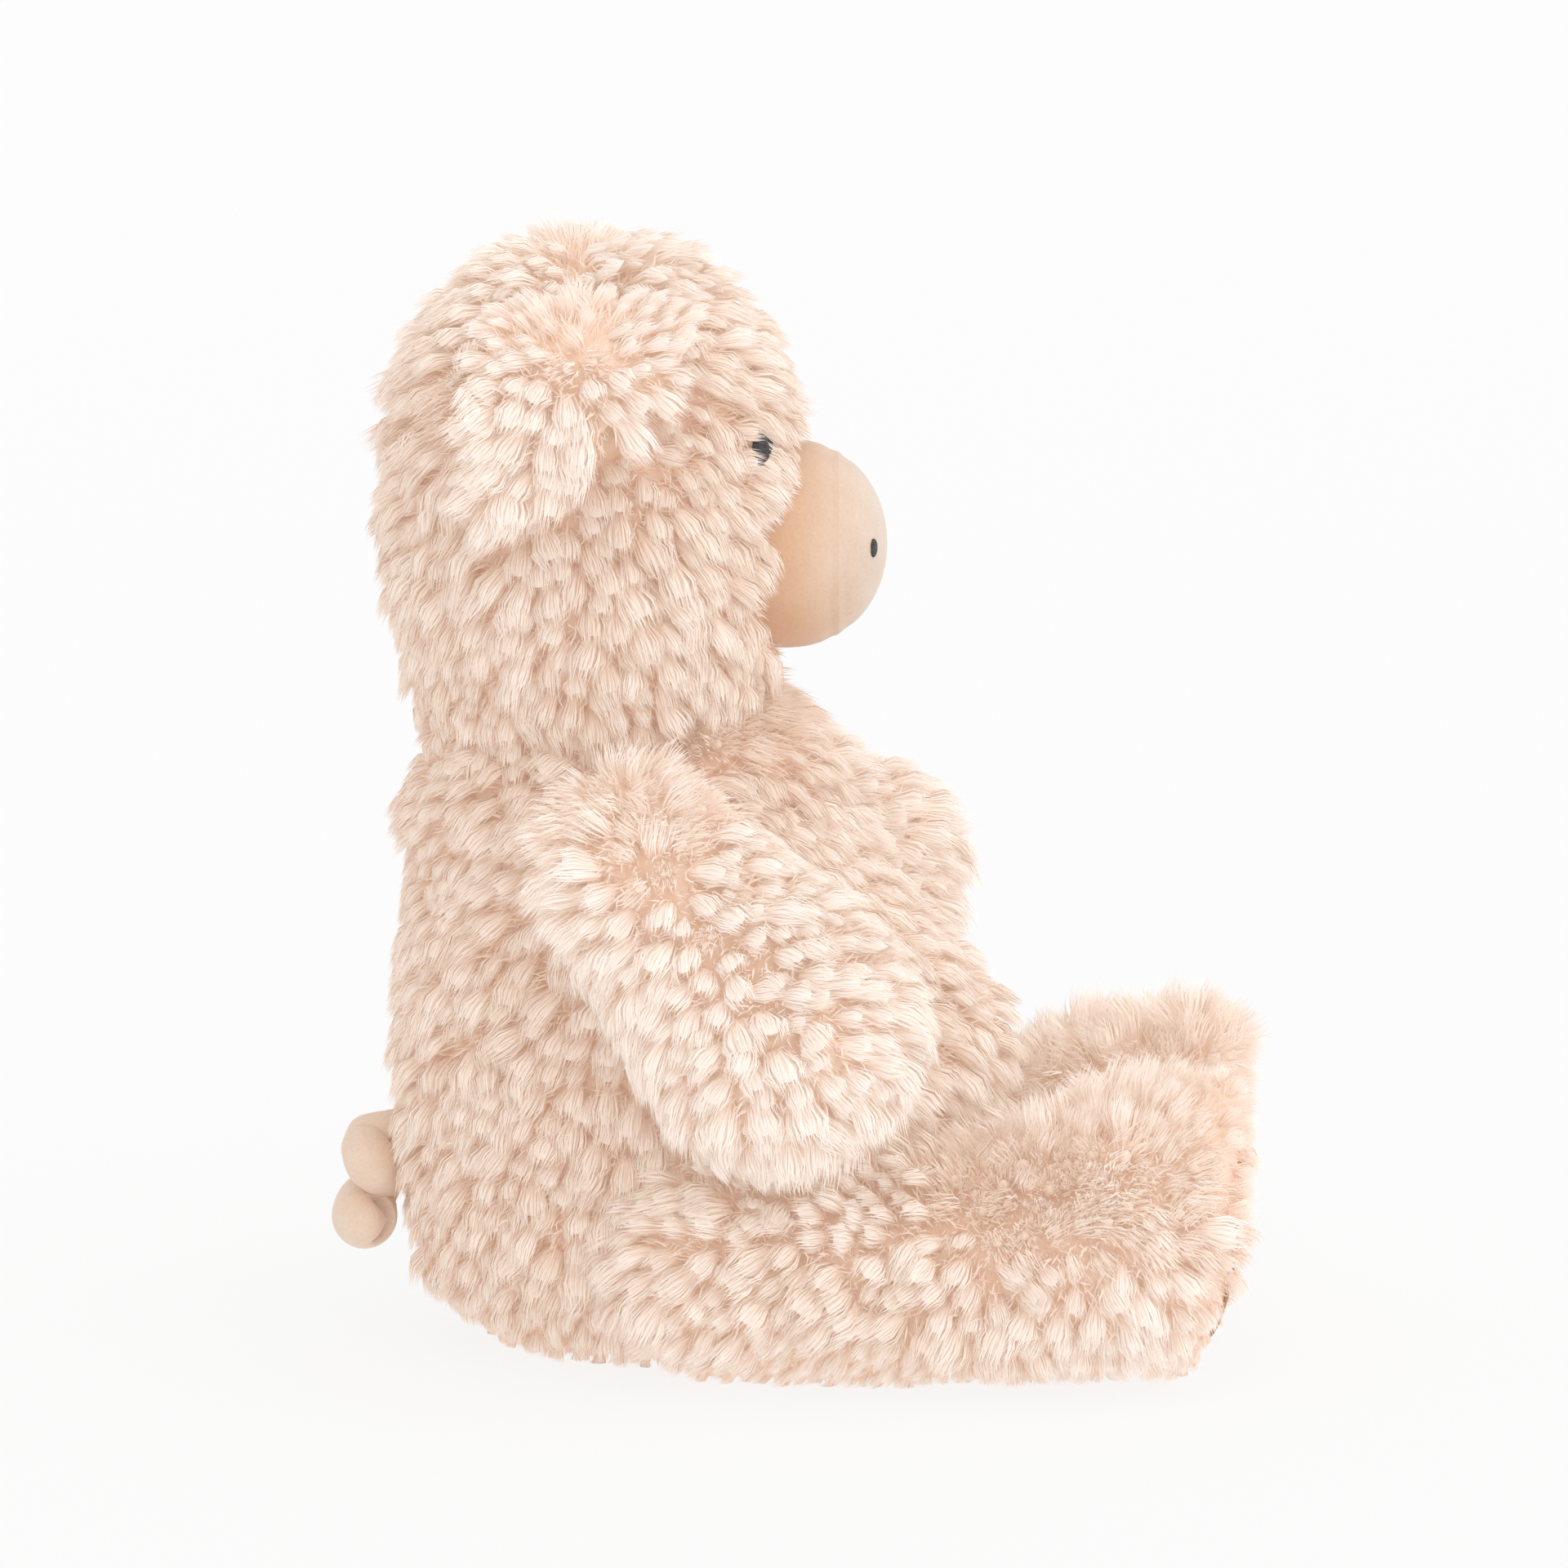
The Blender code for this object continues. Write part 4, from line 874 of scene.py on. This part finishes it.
def ear_rows(side, inside, first, last, narrower, half_thickness):
    """Rings along the folded flap; inside is how far they lie under its middle."""
    path = resampled(EAR_PATH, 41)
    swell = resampled(EAR_SWELL, 41)
    back = resampled(EAR_BACK, 41)[:, 0]
    rows = []
    for step in range(first, last + 1, 2):
        ahead, behind = path[min(step + 1, 40)], path[max(step - 1, 0)]
        run = Vector(((ahead[0] - behind[0]) * EAR_OUT * side, 0, (ahead[1] - behind[1]) * EAR_DROP))
        along = run.normalized()
        top = along.cross(Vector((0, 1, 0))) * side
        middle = Vector(EAR_ROOT) + Vector((0, back[step], 0))
        middle.x = side * (EAR_ROOT[0] + EAR_OUT * path[step][0])
        middle.z += EAR_DROP * path[step][1]
        middle -= top * inside
        wide = max(EAR_HALF_WIDTH * swell[step][0] - narrower, 0)
        thick = top * half_thickness * (swell[step][1] if half_thickness > 1 else 1)
        rows.append((*middle, 0, wide, 0, *thick))
    rounded = EAR_HALF_THICKNESS if half_thickness > 1 else 0
    end = Vector(rows[-1][:3]) + along * rounded
    return [(*rows[0][:3], 0, 0, 0, 0, 0, 0), *rows, (*end, 0, 0, 0, 0, 0, 0)]


for side, name in SIDES:
    ear_form = skinned(f"ear_{name}_plush", ear_rows(side, 0, 0, 40, 0, EAR_HALF_THICKNESS), 44, 44)
    parting = np.array((side * 60, 44, 214)) * MM

    def shorter_on_top(places):
        """The pile is clipped along the fold."""
        return 1 - 0.3 * partway(places[:, 2], 208, 216)

    def outside_only(places):
        """No pile on the velour's side of the flap."""
        inward = read_points(ear_form)[1][:, 0] * side < -0.15
        return ~(inward & (places[:, 2] < 214 * MM))

    # The ears' tints are paler than the head's: painted light, for the light that falls on their tops
    grow_pile(
        f"ear_{name}_plush", ear_form, lambda places: fanned(places, parting, 7 * MM, 0.8, 0.35), 7 + side,
        (f"ear_{name}",), f"ear_{name}_flap", fill=0.4, grow=outside_only, crop=shorter_on_top,
        tints=(0.8, 1.0), depth=1.6 * MM, spacing=3.7 * MM,
    )
    lining_rows = ear_rows(side, 3.4, 10, 36, 4.5, 0.9)
    finish_piece(f"ear_{name}_velour", skinned(f"ear_{name}_velour", lining_rows, 40, 40), peach_velour,
                 f"ear_{name}_flap", "velour", 0.2, f"ear_lining_{name}")


# Arms
# Plump plush paddles, closed round the hand and gathered at the shoulder, where a seam joins each to the
# body.

ARM_LEAN = math.radians(9)
ARM_LENGTH = 91
ARM_HALF_WIDTH = 26.5
ARM_HALF_THICKNESS = 20.5
# Along the arm: the place on it, its width, its thickness and how far its middle lies out
ARM_ROWS = (
    (0.00, 0.00, 0.00, 0.10),
    (0.05, 0.48, 0.42, 0.16),
    (0.16, 0.70, 0.66, 0.22),
    (0.30, 0.81, 0.76, 0.30),
    (0.45, 0.88, 0.84, 0.40),
    (0.60, 0.95, 0.93, 0.50),
    (0.74, 1.00, 1.00, 0.56),
    (0.85, 0.93, 0.93, 0.56),
    (0.93, 0.70, 0.70, 0.52),
    (0.98, 0.40, 0.42, 0.50),
    (1.00, 0.00, 0.00, 0.50),
)


def nearest(line, places):
    """For each place, the point of a line that lies nearest to it."""
    return line[np.argmin(np.linalg.norm(places[:, None] - line[None], axis=2), axis=1)]


for side, name, drop in ((1, "left", math.radians(37)), (-1, "right", math.radians(50))):
    outward = Vector((side * math.cos(ARM_LEAN), 0, math.sin(ARM_LEAN)))
    down = Vector((side * math.sin(ARM_LEAN), 0, -math.cos(ARM_LEAN)))
    along = down * math.sin(drop) - Vector((0, 1, 0)) * math.cos(drop)
    across = outward.cross(along)
    shoulder = Vector((side * 43, 37, 113)) - along * 13
    rows = []
    for share, wide, thick, off in ARM_ROWS:
        clear = ARM_HALF_THICKNESS * thick + 0.3 if share in (0, 1) else 0
        middle = shoulder + along * ARM_LENGTH * share + outward * max(ARM_HALF_THICKNESS * off, clear)
        # The raised arm is fuller from its elbow on
        fuller = 1.14 if side > 0 and share > 0.25 else 1
        wide *= ARM_HALF_WIDTH * fuller
        rows.append((*middle, *(across * wide), *(outward * ARM_HALF_THICKNESS * thick)))
    arm_form = skinned(f"arm_{name}_plush", rows, 48, 56)
    line = np.array([shoulder + along * ARM_LENGTH * share for share in np.linspace(0.3, 0.72, 16)]) * MM

    def arm_flow(places):
        return fanned(places, nearest(line, places), 8 * MM, 0.7, 0.4) + np.array(along) * 0.3

    # The arms' tints are paler than the body's: painted light, for the light that falls on them
    grow_pile(f"arm_{name}_plush", arm_form, arm_flow, 21 + side, (f"arm_cover_{name}",), f"arm_{name}",
              fill=0.7, tints=(0.95, 1.1))


# Legs
# Stuffed plush tubes with a ball at the hip and a big round foot, closed by a round velour sole that is
# sewn in.

HIP_RADIUS = 25
FOOT_RADIUS = 29
LEG_LENGTH = 103
# Along the leg: the place on it, and its radius from the hip's, 0, to the foot's, 1
LEG_ROWS = (
    (0.19, -0.20),
    (0.33, -0.40),
    (0.48, -0.15),
    (0.62, 0.50),
    (0.76, 1.15),
    (0.88, 1.40),
    (0.96, 1.00),
)
TOE_LIFT = 2.5
SOLE_TILT = 0.14
SOLE_RADIUS = 20.5
SOLE_RISE = 2.2


def leg_middle(side, reach, radius):
    bend = 0.12 * reach - 0.40 * reach ** 2 / (LEG_LENGTH * 2) if reach > 0 else 0
    return Vector((side * (42 + bend), 14 - reach, radius - 0.5))


for side, name in SIDES:
    rows = [(*leg_middle(side, -HIP_RADIUS, HIP_RADIUS), 0, 0, 0, 0, 0, 0)]
    for step in range(1, 7):
        angle = math.pi / 2 * step / 6
        wide = HIP_RADIUS * math.sin(angle)
        rows.append((*leg_middle(side, -HIP_RADIUS * math.cos(angle), HIP_RADIUS), wide, 0, 0, 0, 0, wide))
    for share, swell in LEG_ROWS:
        radius = HIP_RADIUS + (FOOT_RADIUS - HIP_RADIUS) * swell
        rows.append((*leg_middle(side, LEG_LENGTH * share, radius), radius, 0, 0, 0, 0, radius))
    # The left foot is turned further in than the right one
    turned_in = 0.42 if side > 0 else 0.15
    facing = Vector((side * -turned_in, -1, -SOLE_TILT)).normalized()
    lifted = Vector(rows[-1][:3]) + Vector((0, 0, TOE_LIFT))
    rows[-1] = (*lifted, *rows[-1][3:7], -SOLE_TILT * rows[-1][8], rows[-1][8])
    toe = leg_middle(side, LEG_LENGTH - 3, 29.5)
    across = Vector((0, 0, 1)).cross(facing).normalized()
    upward = facing.cross(across)
    rows.append((*(toe + facing * 0.5), *(across * (SOLE_RADIUS - 1)), *(upward * (SOLE_RADIUS - 1))))
    rows.append((*(toe + facing * 0.5), 0, 0, 0, 0, 0, 0))
    leg_form = skinned(f"leg_{name}_plush", rows, 56, 64)
    line = np.array([leg_middle(side, LEG_LENGTH * share, 30) for share in np.linspace(0.55, 0.8, 9)]) * MM

    sole_middle, sole_facing = np.array(toe) * MM, np.array(facing)

    def leg_flow(places):
        return fanned(places, nearest(line, places), 9 * MM, 0.7, 0.5)

    def beyond_sole(places):
        return (places - sole_middle) @ sole_facing

    def bare_for_sole(places):
        """No pile where the sole lies, nor under the foot."""
        beyond = beyond_sole(places)
        off = np.linalg.norm(places - sole_middle - beyond[:, None] * sole_facing, axis=1)
        return ((beyond < -6 * MM) | (off > (SOLE_RADIUS - 1) * MM)) & (places[:, 2] > SEAT_LINE)

    def rounder_toes(places):
        """The pile is clipped at the underside of the toes and round the sole, most at its inner edge."""
        height = places[:, 2] - sole_middle[2]
        ahead = partway(places[:, 1], -72, -84)
        low = partway(height, -4, -14) * 0.8
        high = partway(height, 14, 24) * (0.45 if side < 0 else 0)
        by_sole = (beyond_sole(places) > -9 * MM) & (height < 20 * MM)
        inner = places[:, 0] * side < sole_middle[0] * side
        round_sole = np.where(by_sole, np.where(inner, 0.4, 0.6), 1)
        return np.minimum(np.minimum(round_sole, 1 - ahead * (low + high)), clipped_underneath(places))

    def foot_painted_light(places):
        """Painted light: the pile is paler over the foot, which reaches forward into the light."""
        return 0.3 * partway(places[:, 1], -35, -55)

    def leg_depth(places):
        """At the sole the cloth stays close to the form."""
        return (3 - 2.6 * partway(beyond_sole(places)[:, None], -8, 0)) * MM

    # The tilted sole is drawn back past the plain filling, so the pile stands for the filling as well
    grow_pile(f"leg_{name}_plush", leg_form, leg_flow, 31 + side,
              (f"leg_cover_{name}", f"leg_filling_{name}"), f"leg_{name}", fill=0.7,
              grow=bare_for_sole, crop=rounder_toes, tints=(0.35, 0.85), pale=foot_painted_light,
              depth=leg_depth)
    sole_rows = [(*(toe + facing * (SOLE_RISE + 0.3)), 0, 0, 0, 0, 0, 0)]
    for step in range(1, 9):
        angle = math.pi / 2 * step / 8
        middle = toe + facing * (0.3 + SOLE_RISE * math.cos(angle))
        wide = SOLE_RADIUS * math.sin(angle)
        sole_rows.append((*middle, *(across * wide), *(upward * wide)))
    sole_rows.append((*(toe + facing * 0.3), 0, 0, 0, 0, 0, 0))
    finish_piece(f"sole_{name}_velour", skinned(f"sole_{name}_velour", sole_rows, 30, 64), peach_velour,
                 f"leg_{name}", "velour", 0.6, f"sole_{name}")


# Tail
# A velour tube, stuffed, gathered where it enters the back seam and held in a curl by a thread inside.

TAIL_ROOT = Vector((0, 80.3, 44.5))
TAIL_RADIUS = 5.5
TAIL_SWELL = (0.78, 0.80, 0.95, 1.02, 0.92, 0.86, 0.88, 1.0, 1.18, 1.24, 1.04, 0.62)
tail_places = [TAIL_ROOT - Vector((0, 3, 0)), TAIL_ROOT + Vector((0, 3.6, -1))]
for step in range(23):
    turn = math.radians(468) * step / 22
    fall = 16.5 * min(turn / math.tau, 1)
    tail_places.append(Vector((-6 * math.sin(turn), 88.2 + 1.8 * math.cos(turn), 42 - fall)))
swells = resampled([(swell,) for swell in TAIL_SWELL], len(tail_places))[:, 0] * TAIL_RADIUS
tail_rows = []
sideways = Vector((1, 0, 0))
for step, middle in enumerate(tail_places):
    along = (tail_places[min(step + 1, len(tail_places) - 1)] - tail_places[max(step - 1, 0)]).normalized()
    sideways = (sideways - along * sideways.dot(along)).normalized()
    tail_rows.append((*middle, *(sideways * swells[step]), *(along.cross(sideways) * swells[step])))
tail_end = tail_places[-1] + along * TAIL_RADIUS * 0.5
tail_rows = [(*tail_places[0], 0, 0, 0, 0, 0, 0)] + tail_rows + [(*tail_end, 0, 0, 0, 0, 0, 0)]
finish_piece("tail_velour", skinned("tail_velour", tail_rows, 110, 40), pale_velour, "tail_curl", "velour",
             0.8, "tail")


# Fillings and pellet bag
# Loose polyester fibre inside the covers, and a woven pouch of plastic pellets in the seat. None of it is
# seen.

# Carded white fibre, quite matt. Its crimp of 2.5 mm is drawn coarser than the real one.
fibre_material, fibre, shader = new_material("polyester_fibre_filling", 1.0, 0.3, 0.5)
place = add_node(fibre, "ShaderNodeTexCoord").outputs["Object"]
crimp = add_node(fibre, "ShaderNodeTexNoise", {
    "Vector": place, "Scale": 400.0, "Detail": 6.0, "Distortion": 1.5,
})
whites = add_node(fibre, "ShaderNodeValToRGB", {0: crimp}, stops=((0.3, "#DEDDD9"), (0.7, "#F8F7F3")))
fibre.links.new(whites.outputs[0], shader.inputs["Base Color"])
bump = add_node(fibre, "ShaderNodeBump", {"Height": crimp, "Strength": 0.6, "Distance": 0.6 * MM})
fibre.links.new(bump.outputs[0], shader.inputs["Normal"])
# Unbleached plain weave, matt, with its threads drawn 0.9 mm apart, coarser than they are
pouch_material, pouch, shader = new_material("woven_pellet_pouch", 0.9, 0.1, 0.5)
place = add_node(pouch, "ShaderNodeTexCoord").outputs["Object"]
weave = add_node(pouch, "ShaderNodeTexWave", {"Vector": place, "Scale": 350.0, "Distortion": 1.0})
yarns = add_node(pouch, "ShaderNodeValToRGB", {0: weave}, stops=((0.2, "#C9C4B8"), (0.8, "#E4E0D6")))
pouch.links.new(yarns.outputs[0], shader.inputs["Base Color"])
for name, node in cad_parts.items():
    if name.endswith("_filling") or "_filling_" in name or name == "pellet_bag":
        material = pouch_material if name == "pellet_bag" else fibre_material
        for slot in node.material_slots:
            slot.material = material


# Studio
# A wide pale floor, an even white sky and one broad soft light from above, ahead of the toy on the camera's
# side.

floor_mesh = bpy.data.meshes.new("floor")
reach = 14.0
corners = [(-reach, -reach, 0), (reach, -reach, 0), (reach, reach, 0), (-reach, reach, 0)]
floor_mesh.from_pydata(corners, [], [(0, 1, 2, 3)])
floor = add_object("floor", floor_mesh)
paper_material, _, shader = new_material("white_studio_paper", 0.9, 0.0, 0.5)
shader.inputs["Base Color"].default_value = linear("#606060")
shader.inputs["Emission Color"].default_value = linear("#FFFFFF")
shader.inputs["Emission Strength"].default_value = 0.82
floor_mesh.materials.append(paper_material)

sky = bpy.data.worlds.new("studio_sky")
sky.use_nodes = True
sky.node_tree.nodes["Background"].inputs["Color"].default_value = linear("#FFFFFF")
sky.node_tree.nodes["Background"].inputs["Strength"].default_value = 0.84
bpy.context.scene.world = sky
lamp = bpy.data.lights.new("broad_light", "SUN")
lamp.energy = 0.97
lamp.angle = math.radians(100)
light = add_object("broad_light", lamp)
light.rotation_euler = Vector((-0.58, -0.55, 0.78)).to_track_quat("Z", "Y").to_euler()

# The camera looks at the toy's right side from 10 degrees up, through a long lens
LENS = 300.0
FRAME_WIDTH = 324.5 * MM
ELEVATION = math.radians(10)
AIM = Vector((0, 2.7, 116.5)) * MM
view = bpy.data.cameras.new("camera")
view.lens = LENS
away = Vector((-math.cos(ELEVATION), 0, math.sin(ELEVATION)))
camera = add_object("camera", view)
camera.location = AIM + away * FRAME_WIDTH * LENS / view.sensor_width
camera.rotation_euler = away.to_track_quat("Z", "Y").to_euler()
bpy.context.scene.camera = camera
bpy.context.scene.view_settings.view_transform = "Standard"
